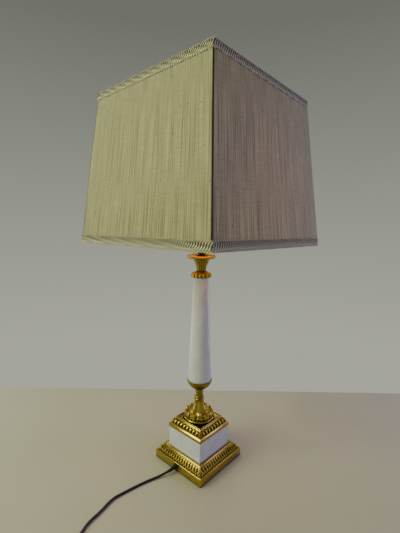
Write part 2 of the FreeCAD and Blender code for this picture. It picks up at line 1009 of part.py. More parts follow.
tulip_waist_level = at.tulip_level + size.tulip_waist_height
keep(
    turned(
        "tulip",
        (
            (at.rod_hole, at.tulip_level),
            (size.tulip_foot_radius, at.tulip_level),
            (size.tulip_waist_radius, tulip_waist_level, -(size.tulip_height * TULIP_FOOT_ARC)),
            (size.tulip_rim_radius, at.dish_level, -(size.tulip_height * TULIP_RIM_ARC)),
            (size.tulip_rim_radius - size.tulip_wall, at.dish_level),
            (size.tulip_waist_radius - size.tulip_wall, tulip_waist_level),
            (size.tulip_foot_radius - size.tulip_wall, at.tulip_level + size.tulip_wall * 2),
            (at.rod_hole, at.tulip_level + size.tulip_wall * 2),
        ),
    )
)

dish_rim_level = at.dish_level + size.dish_rim_level
dish_edge = size.dish_radius - size.dish_rim
dish_inner = size.tulip_rim_radius - size.tulip_wall
keep(
    turned(
        "drip_dish",
        (
            (at.rod_hole, at.dish_level + size.dish_rim),
            (size.dish_boss_radius, at.dish_level + size.dish_rim),
            (size.dish_boss_radius, dish_rim_level),
            (dish_inner - size.dish_rim, dish_rim_level),
            (dish_inner, at.dish_level),
            (size.tulip_rim_radius, at.dish_level),
            (dish_edge, dish_rim_level - size.dish_rim, size.dish_radius * DISH_UNDER_ARC),
            (dish_edge, dish_rim_level + size.dish_rim, size.dish_rim * FULL_BULGE),
            (size.dish_top_radius, at.neck_level, size.dish_radius * DISH_TOP_ARC),
            (size.dish_well_radius, at.neck_level),
            (size.dish_well_radius, well_floor),
            (at.rod_hole, well_floor),
        ),
    )
)

# ---- lampholder ------------------------------------------------------------------------------

neck_stop = at.neck_level + size.neck_thread
ledge_radius = at.holder_bore - size.holder_ledge
holder_cap = turned(
    "holder_cap",
    (
        (thread_hole, at.neck_level),
        (size.neck_radius, at.neck_level),
        (size.neck_radius, at.dome_level),
        (size.holder_radius, at.skirt_level, size.holder_dome * DOME_ARC),
        (size.holder_radius, at.flange_level),
        (at.holder_bore, at.flange_level),
        (at.holder_bore, at.insert_level),
        (ledge_radius, at.insert_level),
        (size.neck_radius - size.holder_ledge, at.dome_level + size.rod_clear),
        (size.flex_hole, at.dome_level - size.neck_shelf),
        (size.flex_hole, neck_stop),
        (thread_hole, neck_stop),
    ),
)
grub_level = at.neck_level + size.rod_in_neck / 2
grub_sketch = add_sketch(holder_cap, "XZ_Plane", -(size.neck_radius + size.hole_past))
draw_circles(grub_sketch, size.grub_radius + size.thread_clear, [(0, grub_level)])
cut(holder_cap, grub_sketch, size.neck_radius + size.hole_past - size.rod_radius)
keep(holder_cap)

grub = doc.addObject("Part::Cylinder", "holder_grub_screw")
grub.Label = "holder_grub_screw"
set_value(grub, "Radius", size.grub_radius)
set_value(grub, "Height", size.grub_length)
grub.Placement = Placement(Vector(), Rotation(Vector(1, 0, 0), -90))
grub.setExpression("Placement.Base.y", (size.rod_radius + size.thread_clear).formula)
grub.setExpression("Placement.Base.z", grub_level.formula)
keep(grub)

insert_radius = at.holder_bore - size.insert_clear
insert = turned(
    "holder_insert",
    (
        (0, at.insert_level),
        (insert_radius, at.insert_level),
        (insert_radius, at.insert_top),
        (0, at.insert_top),
    ),
)
keep(insert)

terminal_sides = [(size.terminal_reach * side, 0) for side in (-1, 1)]


def add_box(label, sides, corner):
    box = doc.addObject("Part::Box", label)
    box.Label = label
    for name, side in zip(("Length", "Width", "Height"), sides):
        set_value(box, name, side)
    for axis, value in zip("xyz", corner):
        box.setExpression(f"Placement.Base.{axis}", length(value).formula)
    return box


terminal = add_box(
    "terminal",
    (size.terminal_side, size.terminal_side, size.terminal_side),
    (
        -(size.terminal_side / 2),
        -(size.terminal_side / 2),
        at.insert_level - size.terminal_side,
    ),
)
group(
    "holder_terminals",
    terminal,
    [Placement(Vector(length(x).number, 0, 0), Rotation()) for x, _ in terminal_sides],
)

strip = add_box(
    "contact_strip",
    (size.contact_strip_length, size.contact_strip_width, size.contact_strip_thick),
    (
        -(size.contact_strip_length - size.contact_button_radius),
        -(size.contact_strip_width / 2),
        at.insert_top,
    ),
)
button = doc.addObject("Part::Cylinder", "contact_button")
set_value(button, "Radius", size.contact_button_radius - size.thread_clear)
set_value(button, "Height", size.contact_button_rise + size.contact_strip_thick)
button.setExpression("Placement.Base.z", at.insert_top.formula)
contact = doc.addObject("Part::Fuse", "holder_centre_contact")
contact.Label = "holder_centre_contact"
contact.Base = strip
contact.Tool = button
keep(contact)

washer(
    "holder_screw_shell",
    size.screw_shell_radius,
    size.screw_shell_radius - size.screw_shell_wall,
    at.insert_top,
    size.screw_shell_height,
)

thread_top = at.thread_level + size.thread_height
keep(
    turned(
        "holder_shell",
        (
            (at.holder_bore, at.flange_level),
            (size.flange_radius, at.flange_level),
            (size.flange_radius, at.thread_level),
            (size.holder_radius, at.thread_level),
            (size.holder_radius, thread_top),
            (at.holder_bore, thread_top),
        ),
    )
)

# ---- bulb ------------------------------------------------------------------------------------

tip_top = at.bulb_level + size.bulb_tip_height
cap_top = tip_top + size.bulb_cap_height
cap_floor = tip_top + size.bulb_cap_slope + size.bulb_cap_wall
bulb_top = at.bulb_level + size.bulb_height
glass_foot = cap_top - size.bulb_neck_depth
globe_level = bulb_top - size.bulb_radius
inner_neck = size.bulb_neck_radius - size.bulb_glass_wall
inner_globe = size.bulb_radius - size.bulb_glass_wall
keep(
    turned(
        "bulb_tip",
        (
            (0, at.bulb_level),
            (size.bulb_tip_radius, at.bulb_level + size.bulb_tip_edge),
            (size.bulb_cap_radius - size.bulb_cap_slope * 1.5, tip_top),
            (0, tip_top),
        ),
    )
)
keep(
    turned(
        "bulb_cap",
        (
            (0, tip_top),
            (size.bulb_cap_radius - size.bulb_cap_slope, tip_top),
            (size.bulb_cap_radius, tip_top + size.bulb_cap_slope),
            (size.bulb_cap_radius, cap_top),
            (size.bulb_cap_radius - size.bulb_cap_wall, cap_top),
            (size.bulb_cap_radius - size.bulb_cap_wall, cap_floor),
            (0, cap_floor),
        ),
    )
)
keep(
    turned(
        "bulb_glass",
        (
            (inner_neck, glass_foot),
            (size.bulb_neck_radius, glass_foot),
            (size.bulb_neck_radius, cap_top),
            (size.bulb_radius, globe_level, size.bulb_radius * BULB_NECK_ARC),
            (0, bulb_top, size.bulb_radius),
            (0, bulb_top - size.bulb_glass_wall),
            (inner_globe, globe_level, -inner_globe),
            (inner_neck, cap_top, -(size.bulb_radius * BULB_NECK_ARC)),
        ),
    )
)

# ---- shade ring and fitter -------------------------------------------------------------------

ring_bore = size.holder_radius + size.ring_clear
ring_flange_top = at.ring_level + size.ring_flange
ring_top_level = at.ring_level + size.ring_height
keep(
    turned(
        "shade_ring",
        (
            (ring_bore, at.ring_level),
            (size.ring_radius, at.ring_level),
            (size.ring_radius, ring_flange_top),
            (size.ring_hub_radius, ring_flange_top),
            (size.ring_hub_radius, ring_top_level),
            (ring_bore, ring_top_level),
        ),
    )
)

panel_inset = size.panel_thick + size.wire_clear
wire_foot_level = at.shade_level + size.wire_level
wire_foot_half = (
    at.panel_foot_half
    - panel_inset
    - size.wire_radius
    - at.shade_slope * (size.wire_level + size.wire_radius)
)
wire_top_level = at.shade_top - size.wire_level
wire_top_half = wire_foot_half - at.shade_slope * (wire_top_level - wire_foot_level)

fitter = turned(
    "fitter_disc",
    (
        (size.holder_radius + size.fitter_clear, at.fitter_level),
        (size.fitter_radius, at.fitter_level),
        (size.fitter_radius, at.fitter_level + size.fitter_thick),
        (size.holder_radius + size.fitter_clear, at.fitter_level + size.fitter_thick),
    ),
)
doc.recompute()
wire = size.wire_radius.number
spoke_end = wire_foot_half.number - wire - size.wire_clear.number
spoke_high = at.fitter_level.number + size.fitter_thick.number - wire
spoke_from = Vector(size.spoke_start.number, 0, spoke_high)
spoke_to = Vector(spoke_end, 0, wire_foot_level.number)
spoke = Part.makeCylinder(wire, (spoke_to - spoke_from).Length, spoke_from, spoke_to - spoke_from)
fitter_shape = fitter.Shape.copy()
for turn in quarter_turns():
    arm = spoke.copy()
    arm.Placement = turn.multiply(arm.Placement)
    fitter_shape = fitter_shape.fuse(arm)
add_shape("shade_fitter", fitter_shape)

# ---- shade -----------------------------------------------------------------------------------


# how far a bent corner of the wire passes inside the corner of its square
bend_inset = size.wire_bend * (1 - math.sqrt(0.5))


def square_wire(label, half, level):
    # one wire, bent round the square's four corners and closed on itself
    half, level, bend = half.number, level.number, size.wire_bend.number
    corner = half - bend_inset.number
    edges = []
    for turn in quarter_turns():
        bend_start = Vector(half - bend, -half, level)
        bend_end = Vector(half, bend - half, level)
        side = Part.LineSegment(Vector(bend - half, -half, level), bend_start)
        arc = Part.Arc(bend_start, Vector(corner, -corner, level), bend_end)
        for edge in (side.toShape(), arc.toShape()):
            edge.Placement = turn
            edges.append(edge)
    return add_shape(label, tube(label, Part.Wire(edges), wire))


square_wire("bottom_frame", wire_foot_half, wire_foot_level)
square_wire("top_frame", wire_top_half, wire_top_level)


def wire_corner(half, level):
    reach = (half - bend_inset).number
    return Vector(reach, reach, level.number)


strut_foot = wire_corner(wire_foot_half, wire_foot_level)
strut_top = wire_corner(wire_top_half, wire_top_level)
strut_run = strut_top - strut_foot
strut_gap = wire + size.wire_clear.number
strut_step = Vector(strut_run).normalize() * strut_gap
strut = add_shape(
    "corner_strut",
    Part.makeCylinder(wire, strut_run.Length - 2 * strut_gap, strut_foot + strut_step, strut_run),
)
kept.remove(strut)
group("corner_struts", strut, quarter_turns())


def sloped_half(half_at_foot, rise):
    # a half width of the shade, some way above its foot
    return half_at_foot - at.shade_slope * rise


def lofted(label, section, low, high):
    # a leaning piece: the section at two heights above the shade's foot, joined straight
    body = add_body(label)
    ends = []
    for rise in (low, high):
        sketch = add_sketch(body, "XY_Plane", at.shade_level + rise)
        draw(sketch, section(length(rise)))
        ends.append(sketch)
    feature = body.newObject("PartDesign::AdditiveLoft", f"{label}_loft")
    feature.Profile = ends[0]
    feature.Sections = [ends[1]]
    feature.Ruled = True
    return body


def panel_section(rise):
    half = sloped_half(at.panel_foot_half, rise)
    outer = half - size.panel_corner
    inner = outer - size.panel_thick
    return (
        (-outer, -half),
        (outer, -half),
        (inner, size.panel_thick - half),
        (-inner, size.panel_thick - half),
    )


for name, turn in zip(("front", "right", "back", "left"), (0, 90, 180, 270)):
    panel = lofted(f"panel_{name}", panel_section, 0, size.shade_height)
    panel.Placement = Placement(Vector(), Rotation(Vector(0, 0, 1), turn))
    keep(panel)


def braid(label, low, height):
    # a band round the shade, as thick as the braid, with the panels behind it
    body = add_body(label)
    outer = size.shade_foot_side / 2
    kinds = ("PartDesign::AdditiveLoft", "PartDesign::SubtractiveLoft")
    for inset, kind in zip((0, size.braid_thick), kinds):
        foot = sloped_half(outer - inset, low)
        top = sloped_half(outer - inset, low + height)
        frustum(
            body, (foot, at.shade_level + low), (top, at.shade_level + low + height), kind
        )
    return keep(body)


braid("bottom_trim", length(0), size.foot_braid_height)
braid("top_trim", size.shade_height - size.top_braid_height, size.top_braid_height)


def piping_section(rise):
    # fills the slit between two panels at the +X -Y corner, and stands a little proud of it
    half = sloped_half(at.panel_foot_half, rise)
    slit = size.panel_corner - size.piping_clear
    proud = half + size.piping_rise
    inner = half - size.panel_thick
    return (
        (half - slit, -half),
        (proud, -proud),
        (half, slit - half),
        (inner, slit - inner),
        (inner - slit, -inner),
    )


piping = lofted(
    "piping",
    piping_section,
    size.foot_braid_height + size.piping_clear,
    size.shade_height - size.top_braid_height - size.piping_clear,
)
group("corner_piping", piping, quarter_turns())

# ---- flex inside the lamp --------------------------------------------------------------------

base_face = -at.base_half
exit_y = size.cord_exit_side
exit_z = size.cord_exit_level
bush_face = base_face - size.bush_flange

bush = turned(
    "cord_grommet",
    (
        (size.cord_radius + size.bush_clear, 0),
        (size.bush_hub_radius, 0),
        (size.bush_hub_radius, size.base_wall),
        (size.bush_radius, size.base_wall),
        (size.bush_radius, size.base_wall + size.bush_flange - size.bush_edge),
        (size.bush_radius - size.bush_edge, size.base_wall + size.bush_flange),
        (size.cord_radius + size.bush_clear, size.base_wall + size.bush_flange),
    ),
)
bush.Placement = Placement(Vector(), Rotation(Vector(0, 1, 0), -90))
bush.setExpression("Placement.Base.x", (base_face + size.base_wall).formula)
bush.setExpression("Placement.Base.y", exit_y.formula)
bush.setExpression("Placement.Base.z", exit_z.formula)
keep(bush)

cord = size.cord_radius.number
flex_low = (at.plate_top + at.ballast_level) / 2 - size.plate_clear
flex_end = at.dome_level + 1
RUN_TO_BALLAST = 12
RUN_UNDER_BALLAST = 27
RUN_TO_ROD = 20
FLEX_SLACK = 0.4
FLEX_ROD_BEND = 4
flex_points = (
    (bush_face, exit_y, exit_z),
    (base_face + RUN_TO_BALLAST, exit_y, exit_z),
    (base_face + RUN_UNDER_BALLAST, exit_y * 0.65, flex_low + FLEX_SLACK),
    (-RUN_TO_ROD, exit_y * 0.15, flex_low),
    (0, 0, flex_low),
    (0, 0, flex_end),
)
flex_path = rounded_path("inner_flex", flex_points, {FLEX_ROD_BEND: cord * 2.4})
add_shape("inner_flex", tube("inner_flex", flex_path, cord))

core = size.core_radius.number
core_apart = size.core_radius * 1.5
terminal_foot = at.insert_level - size.terminal_side
core_bend = core * 3
core_points = (
    (core_apart, 0, flex_end),
    (core_apart, 0, flex_end + size.core_radius * 2),
    (size.terminal_reach, 0, terminal_foot - size.core_radius * 2),
    (size.terminal_reach, 0, terminal_foot),
)
core_path = rounded_path("core_wires", core_points, {1: core_bend, 2: core_bend})
core_tube = tube("core_wires", core_path, core)
core_other = core_tube.copy()
core_other.Placement = Placement(Vector(), Rotation(Vector(0, 0, 1), 180))
add_shape("core_wires", Part.makeCompound([core_tube, core_other]))

# ---- flex on the table, from the base to the switch --------------------------------------------

CORD_TO_SWITCH = (
    (-73, 4, 9.5),
    (-84, 4, 9.5),
    (-97, 8.8, 6.4),
    (-110, 14.2, 3.4),
    (-128, 21, 2.6),
    (-152, 27, 2.6),
    (-186, 33, 2.8),
    (-210, 36.5, 3.2),
    (-243, 26, 3.4),
    (-267, 23.5, 2.8),
    (-291, 10.6, 2.8),
    (-308, 1, 5),
    (-321, -5.6, 8),
    (-334, -12.2, 8),
)
to_switch_path = rounded_path("cord_to_switch", CORD_TO_SWITCH)
add_shape("cord_to_switch", tube("cord_to_switch", to_switch_path, cord))

# ---- in-line switch --------------------------------------------------------------------------

# The switch lies in line with the last run of the flex. Its pieces are drawn about its own middle
# and then placed there.
last_run = Vector(*CORD_TO_SWITCH[-1]) - Vector(*CORD_TO_SWITCH[-2])
switch_heading = math.degrees(math.atan2(last_run.y, last_run.x))
along = Vector(last_run.x, last_run.y, 0).normalize()
switch_start = Vector(CORD_TO_SWITCH[-1][0], CORD_TO_SWITCH[-1][1], 0)
switch_middle = switch_start + along * (size.switch_length.number / 2)
switch_spot = Placement(switch_middle, Rotation(Vector(0, 0, 1), switch_heading))

half_long = size.switch_length / 2
half_wide = size.switch_width / 2
hollow_long = half_long - size.switch_wall
hollow_wide = half_wide - size.switch_wall
post_places = [
    (size.switch_post_along, size.switch_post_across),
    (-size.switch_post_along, -size.switch_post_across),
]
post_hole = size.switch_screw_radius + size.thread_clear


def switch_half(label, level, floor, height):
    body = add_body(label)
    sketch = add_sketch(body, "XY_Plane", level)
    draw(sketch, rounded_oblong(half_long, half_wide, size.switch_corner))
    pad(body, sketch, height)
    hollow = add_sketch(body, "XY_Plane", floor)
    inner_corner = size.switch_corner - size.switch_wall
    draw(hollow, rounded_oblong(hollow_long, hollow_wide, inner_corner))
    cut(body, hollow, height - size.switch_wall)
    return body


screw_seat = size.screw_sunk + size.screw_head_thick
lower = switch_half("switch_lower", 0, size.switch_wall, size.switch_split)
post_sketch = add_sketch(lower, "XY_Plane", size.switch_wall)
draw_circles(post_sketch, size.switch_post_radius, post_places)
pad(lower, post_sketch, size.switch_split - size.switch_wall)
drill(lower, post_hole, 0, size.switch_split + size.hole_past, post_places)
drill(lower, size.switch_screw_head + size.screw_sunk, 0, screw_seat, post_places)
lower.Placement = switch_spot
keep(lower)

upper_height = size.switch_height - size.switch_split
upper = switch_half("switch_upper", size.switch_split, size.switch_split, upper_height)
round_rim(upper, size.switch_edge, size.switch_height)
ceiling = size.switch_height - size.switch_wall
slot_sketch = add_sketch(upper, "XY_Plane", size.switch_height)
slot_half = size.rocker_length / 2 + size.rocker_slot_clear
draw(slot_sketch, oblong(slot_half, size.rocker_width / 2 + size.rocker_side_clear))
cut(upper, slot_sketch, size.switch_wall + size.hole_past, forward=False)
lug_from = size.rocker_width / 2 + size.rocker_lug_gap
lug_to = lug_from + size.rocker_lug_thick
lug_foot = size.rocker_pin_level - size.rocker_pin_radius * 2
for side in (-1, 1):
    lug_sketch = add_sketch(upper, "XY_Plane", lug_foot)
    near, far = lug_from * side, lug_to * side
    low, high = (near, far) if side > 0 else (far, near)
    lug_half = size.rocker_lug_half
    draw(lug_sketch, ((-lug_half, low), (lug_half, low), (lug_half, high), (-lug_half, high)))
    pad(upper, lug_sketch, ceiling - lug_foot)
pin_sketch = add_sketch(upper, "XZ_Plane", -lug_to)
pin_hole = size.rocker_pin_radius + size.rocker_pin_clear
draw_circles(pin_sketch, pin_hole, [(0, size.rocker_pin_level)])
cut(upper, pin_sketch, lug_to * 2)
upper_posts = add_sketch(upper, "XY_Plane", size.switch_split)
draw_circles(upper_posts, size.switch_post_radius, post_places)
pad(upper, upper_posts, ceiling - size.switch_split)
drill(upper, post_hole, size.switch_split, size.screw_in_upper + size.screw_sunk, post_places)
upper.Placement = switch_spot
keep(upper)

rocker_half = size.rocker_length / 2
rocker_top = size.switch_height + size.rocker_rise
rocker_foot = size.rocker_pin_level - size.rocker_depth
rocker = add_body("switch_rocker")
rocker_sketch = add_sketch(rocker, "XZ_Plane", -(size.rocker_width / 2))
draw(
    rocker_sketch,
    (
        (-rocker_half, ceiling + size.rocker_lip),
        (-size.rocker_cam_half, rocker_foot),
        (size.rocker_cam_half, rocker_foot),
        (rocker_half, ceiling + size.rocker_lip),
        (rocker_half, rocker_top),
        (0, rocker_top - size.rocker_dip),
        (-rocker_half, rocker_top),
    ),
)
pad(rocker, rocker_sketch, size.rocker_width)
axle_sketch = add_sketch(rocker, "XZ_Plane", -(size.rocker_pin_length / 2))
draw_circles(axle_sketch, size.rocker_pin_radius, [(0, size.rocker_pin_level)])
pad(rocker, axle_sketch, size.rocker_pin_length)
rocker_pivot = Vector(0, 0, size.rocker_pin_level.number)
rocker_tip = Rotation(Vector(0, 1, 0), size.rocker_tilt.number)
rocker_spot = Placement(rocker_pivot, rocker_tip).multiply(Placement(-rocker_pivot, Rotation()))
rocker.Placement = switch_spot.multiply(rocker_spot)
keep(rocker)

switch_screw = turned(
    "switch_screw",
    (
        (0, size.screw_sunk),
        (size.switch_screw_head, size.screw_sunk),
        (size.switch_screw_head, screw_seat),
        (size.switch_screw_radius, screw_seat),
        (size.switch_screw_radius, size.switch_split + size.screw_in_upper),
        (0, size.switch_split + size.screw_in_upper),
    ),
)
group(
    "switch_screws",
    switch_screw,
    [
        switch_spot.multiply(Placement(Vector(x.number, y.number, 0), Rotation()))
        for x, y in post_places
    ],
)

switch_contact = add_box(
    "switch_contact",
    (size.switch_contact_side, size.switch_contact_side, size.switch_contact_height),
    (
        -(size.switch_contact_side / 2),
        -(size.switch_contact_side / 2),
        size.switch_wall,
    ),
)
contact_reach = size.switch_contact_reach.number
group(
    "switch_contacts",
    switch_contact,
    [
        switch_spot.multiply(Placement(Vector(side * contact_reach, 0, 0), Rotation()))
        for side in (-1, 1)
    ],
)

# ---- flex from the switch to the coil ----------------------------------------------------------

switch_far = switch_start + along * size.switch_length.number
CORD_TO_COIL = (
    (switch_far.x, switch_far.y, 8),
    (-398.2, -44.8, 8),
    (-408.5, -56, 6.5),
    (-415, -72, 4),
    (-418, -90, 2.6),
    (-418, -106, 2.6),
)
to_coil_path = rounded_path("cord_to_coil", CORD_TO_COIL)
add_shape("cord_to_coil", tube("cord_to_coil", to_coil_path, cord))

# ---- coil ------------------------------------------------------------------------------------

COIL_PITCH = 5.6
COIL_RISE = 5.6
COIL_OUTER = 41
COIL_HALF_TURNS = 6
coil_start = Vector(*CORD_TO_COIL[-1])


def coil_path():
    # Half turns, the radius half a pitch less at each, down to the middle one that climbs to the
    # upper layer, and as much more at each on the way out again. All meet on one line across.
    down = Vector(0, -2 * cord, 0)
    here = coil_start + down
    edges = [Part.LineSegment(coil_start, here).toShape()]
    inward = [COIL_OUTER - COIL_PITCH / 2 * step for step in range(COIL_HALF_TURNS + 1)]
    radii = inward + inward[-2:0:-1]
    for number, radius in enumerate(radii):
        side = 1 if number % 2 == 0 else -1
        rise = COIL_RISE if number == COIL_HALF_TURNS else 0
        there = here + Vector(side * 2 * radius, 0, rise)
        reach = (there - here).Length / 2
        middle = (here + there) / 2 + Vector(0, -side * reach, 0)
        edges.append(Part.Arc(here, middle, there).toShape())
        here = there
    edges.append(Part.LineSegment(here, here + down).toShape())
    return Part.Wire(edges), here + down


def least_gap(path, diameter, step=2.5):
    # the least distance between two places on a path that aren't neighbours, less the tube
    points = path.discretize(Number=int(path.Length / step))
    skip = int(4 * diameter / step)
    least = min(
        (points[one] - points[two]).Length
        for one in range(len(points))
        for two in range(one + skip, len(points))
    )
    return least - diameter


coil_line, coil_end = coil_path()
print(f"cord_coil: least gap to itself {least_gap(coil_line, 2 * cord):.2f} mm")
add_shape("cord_coil", tube("cord_coil", coil_line, cord))

# ---- flex from the coil to the plug --------------------------------------------------------------

plug_back = Vector(-361, -171, at.plug_axis.number)
CORD_TO_PLUG = (
    (coil_end.x, coil_end.y, coil_end.z),
    (-418, -131, coil_end.z),
    (-412, -150, 7.6),
    (-398, -165, 7),
    (-377, -171, plug_back.z),
    (plug_back.x, plug_back.y, plug_back.z),
)
to_plug_path = rounded_path("cord_to_plug", CORD_TO_PLUG)
add_shape("cord_to_plug", tube("cord_to_plug", to_plug_path, cord))

# ---- plug ------------------------------------------------------------------------------------

plug_spot = Placement(Vector(plug_back.x, plug_back.y, 0), Rotation())
plug = add_body("plug_body")
plug_sketch = add_sketch(plug, "XY_Plane", 0)
tail_half = size.plug_tail_width / 2
plug_half = size.plug_width / 2
face_half = plug_half - size.plug_bevel
draw(
    plug_sketch,
    (
        (0, -tail_half),
        (size.plug_shoulder, -tail_half),
        (size.plug_shoulder + size.plug_flare, -plug_half),
        (size.plug_length - size.plug_bevel, -plug_half),
        (size.plug_length, -face_half),
        (size.plug_length, face_half),
        (size.plug_length - size.plug_bevel, plug_half),
        (size.plug_shoulder + size.plug_flare, plug_half),
        (size.plug_shoulder, tail_half),
        (0, tail_half),
    ),
)
pad(plug, plug_sketch, size.plug_thick)
round_upright_edges(plug, size.plug_edge)
plug.Placement = plug_spot
keep(plug)

pin_radius = size.pin_radius.number
pin_shapes = []
for side in (-1, 1):
    foot = Vector(size.plug_length.number, side * size.pin_pitch.number / 2, at.plug_axis.number)
    stem = Part.makeCylinder(pin_radius, size.pin_length.number - pin_radius, foot, Vector(1, 0, 0))
    tip = foot + Vector(size.pin_length.number - pin_radius, 0, 0)
    pin_shapes.append(stem.fuse(Part.makeSphere(pin_radius, tip)).removeSplitter())
add_shape("plug_pins", Part.makeCompound(pin_shapes), plug_spot)

# ---- checks, and the files ---------------------------------------------------------------------

doc.recompute()
for thing in doc.Objects:
    if "Invalid" in thing.State or "Error" in thing.State:
        raise ValueError(f"{thing.Label} is {thing.State}")
for piece in kept:
    if piece.Shape.isNull() or not piece.Shape.isValid():
        raise ValueError(f"{piece.Label} has no valid shape")

os.makedirs("parts", exist_ok=True)
for piece in kept:
    piece.Shape.exportStep(f"parts/{piece.Label}.step")
print(f"{len(kept)} nodes written")
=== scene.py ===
import math

import bmesh
import bpy
from mathutils import Matrix, Vector


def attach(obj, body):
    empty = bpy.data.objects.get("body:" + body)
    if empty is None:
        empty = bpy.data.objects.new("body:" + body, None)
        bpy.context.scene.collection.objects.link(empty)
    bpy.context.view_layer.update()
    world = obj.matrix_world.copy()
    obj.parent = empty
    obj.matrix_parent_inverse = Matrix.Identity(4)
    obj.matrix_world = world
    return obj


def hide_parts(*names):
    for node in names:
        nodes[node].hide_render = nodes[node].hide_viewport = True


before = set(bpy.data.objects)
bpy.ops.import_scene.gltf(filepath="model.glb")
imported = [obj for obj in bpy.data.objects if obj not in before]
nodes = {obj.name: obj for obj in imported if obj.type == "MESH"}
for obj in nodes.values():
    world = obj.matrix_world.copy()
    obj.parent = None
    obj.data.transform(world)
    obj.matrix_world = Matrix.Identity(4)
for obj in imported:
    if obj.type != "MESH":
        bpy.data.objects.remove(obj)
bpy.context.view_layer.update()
mm = 0.001
print("frame loaded:", len(nodes), "nodes")

# camera, from the corners of the plinths and the shade in the photo

cameraSet = {
    "place": (-0.52786, -0.47321, 0.53194),
    "yaw": -47.86,
    "down": 6.75,
    "roll": 0.95,
    "lens": 21.97,
}


def turnAbout(axis, degrees):
    return Matrix.Rotation(math.radians(degrees), 4, axis)


cameraData = bpy.data.cameras.new("photoCamera")
cameraData.lens = cameraSet["lens"]
cameraData.clip_start = 0.02
camera = bpy.data.objects.new("photoCamera", cameraData)
bpy.context.collection.objects.link(camera)
camera.matrix_world = (
    Matrix.Translation(cameraSet["place"])
    @ turnAbout("Z", cameraSet["yaw"])
    @ turnAbout("X", 90 - cameraSet["down"])
    @ turnAbout("Z", cameraSet["roll"])
)
bpy.context.scene.camera = camera

def toLinear(hexColour):
    parts = [int(hexColour[i : i + 2], 16) / 255 for i in (1, 3, 5)]
    return tuple(c / 12.92 if c <= 0.04045 else ((c + 0.055) / 1.055) ** 2.4 for c in parts) + (1.0,)


def addNode(tree, kind, settings=None, inputs=None):
    node = tree.nodes.new("ShaderNode" + kind)
    for key, value in (settings or {}).items():
        if key == "stops":
            ramp = node.color_ramp
            while len(ramp.elements) < len(value):
                ramp.elements.new(1.0)
            for element, (place, colour) in zip(ramp.elements, value):
                element.position = place
                element.color = toLinear(colour) if isinstance(colour, str) else (colour, colour, colour, 1)
        else:
            setattr(node, key, value)
    for key, value in (inputs or {}).items():
        if isinstance(value, bpy.types.NodeSocket):
            tree.links.new(value, node.inputs[key])
        else:
            node.inputs[key].default_value = value
    return node


def newMaterial(name):
    material = bpy.data.materials.new(name)
    material.use_nodes = True
    tree = material.node_tree
    return material, tree, tree.nodes["Principled BSDF"]


def release():
    if bpy.context.mode != "OBJECT":
        bpy.ops.object.mode_set(mode="OBJECT")
    bpy.ops.object.select_all(action="DESELECT")


def editPiece(piece):
    release()
    piece.select_set(True)
    bpy.context.view_layer.objects.active = piece
    bpy.ops.object.mode_set(mode="EDIT")


def pick(piece, kind, test):
    bpy.ops.mesh.select_mode(type=kind)
    bpy.ops.mesh.select_all(action="DESELECT")
    mesh = bmesh.from_edit_mesh(piece.data)
    for part in {"VERT": mesh.verts, "EDGE": mesh.edges, "FACE": mesh.faces}[kind]:
        spot = part.co if kind == "VERT" else sum((v.co for v in part.verts), Vector()) / len(part.verts)
        if test(spot):
            part.select_set(True)
    mesh.select_flush_mode()
    bmesh.update_edit_mesh(piece.data)


def slide(x, y, z):
    bpy.ops.transform.translate(value=(x * mm, y * mm, z * mm))


def grow(x, y, z, about=(0, 0, 0)):
    bpy.ops.transform.resize(value=(x, y, z), center_override=Vector(about) * mm)


def tidyMesh(piece, angle=38):
    editPiece(piece)
    bpy.ops.mesh.select_all(action="SELECT")
    bpy.ops.mesh.remove_doubles(threshold=0.00002)
    bpy.ops.mesh.normals_make_consistent(inside=False)
    bpy.ops.object.mode_set(mode="OBJECT")
    bpy.ops.object.shade_smooth_by_angle(angle=math.radians(angle))


def applyModifier(piece, kind, settings):
    release()
    piece.select_set(True)
    bpy.context.view_layer.objects.active = piece
    modifier = piece.modifiers.new(kind, kind)
    for key, value in settings.items():
        setattr(modifier, key, value)
    bpy.ops.object.modifier_apply(modifier=modifier.name)


def setPlace(piece, matrix):
    release()
    piece.select_set(True)
    bpy.context.view_layer.objects.active = piece
    piece.matrix_world = matrix
    bpy.ops.object.transform_apply(location=True, rotation=True, scale=True)


def copyAt(piece, matrices):
    copies = []
    for matrix in matrices:
        one = piece.copy()
        one.data = piece.data.copy()
        bpy.context.collection.objects.link(one)
        one.matrix_world = matrix
        copies.append(one)
    return copies


def joined(name, parts):
    release()
    for part in parts:
        part.select_set(True)
    bpy.context.view_layer.objects.active = parts[0]
    bpy.ops.object.join()
    bpy.ops.object.transform_apply(location=True, rotation=True, scale=True)
    parts[0].name = name
    return parts[0]


def dropPiece(piece):
    bpy.data.objects.remove(piece, do_unlink=True)


def useMaterial(piece, material):
    piece.data.materials.clear()
    piece.data.materials.append(material)


def turned(name, sides, outline):
    release()
    radius, level = outline[0]
    bpy.ops.mesh.primitive_circle_add(vertices=sides, radius=radius * mm)
    piece = bpy.context.object
    piece.name = name
    bpy.ops.object.mode_set(mode="EDIT")
    slide(0, 0, level)
    for nextRadius, nextLevel in outline[1:]:
        bpy.ops.mesh.extrude_edges_move(TRANSFORM_OT_translate={"value": (0, 0, (nextLevel - level) * mm)})
        grow(nextRadius / radius, nextRadius / radius, 1)
        radius, level = nextRadius, nextLevel
    tidyMesh(piece)
    return piece


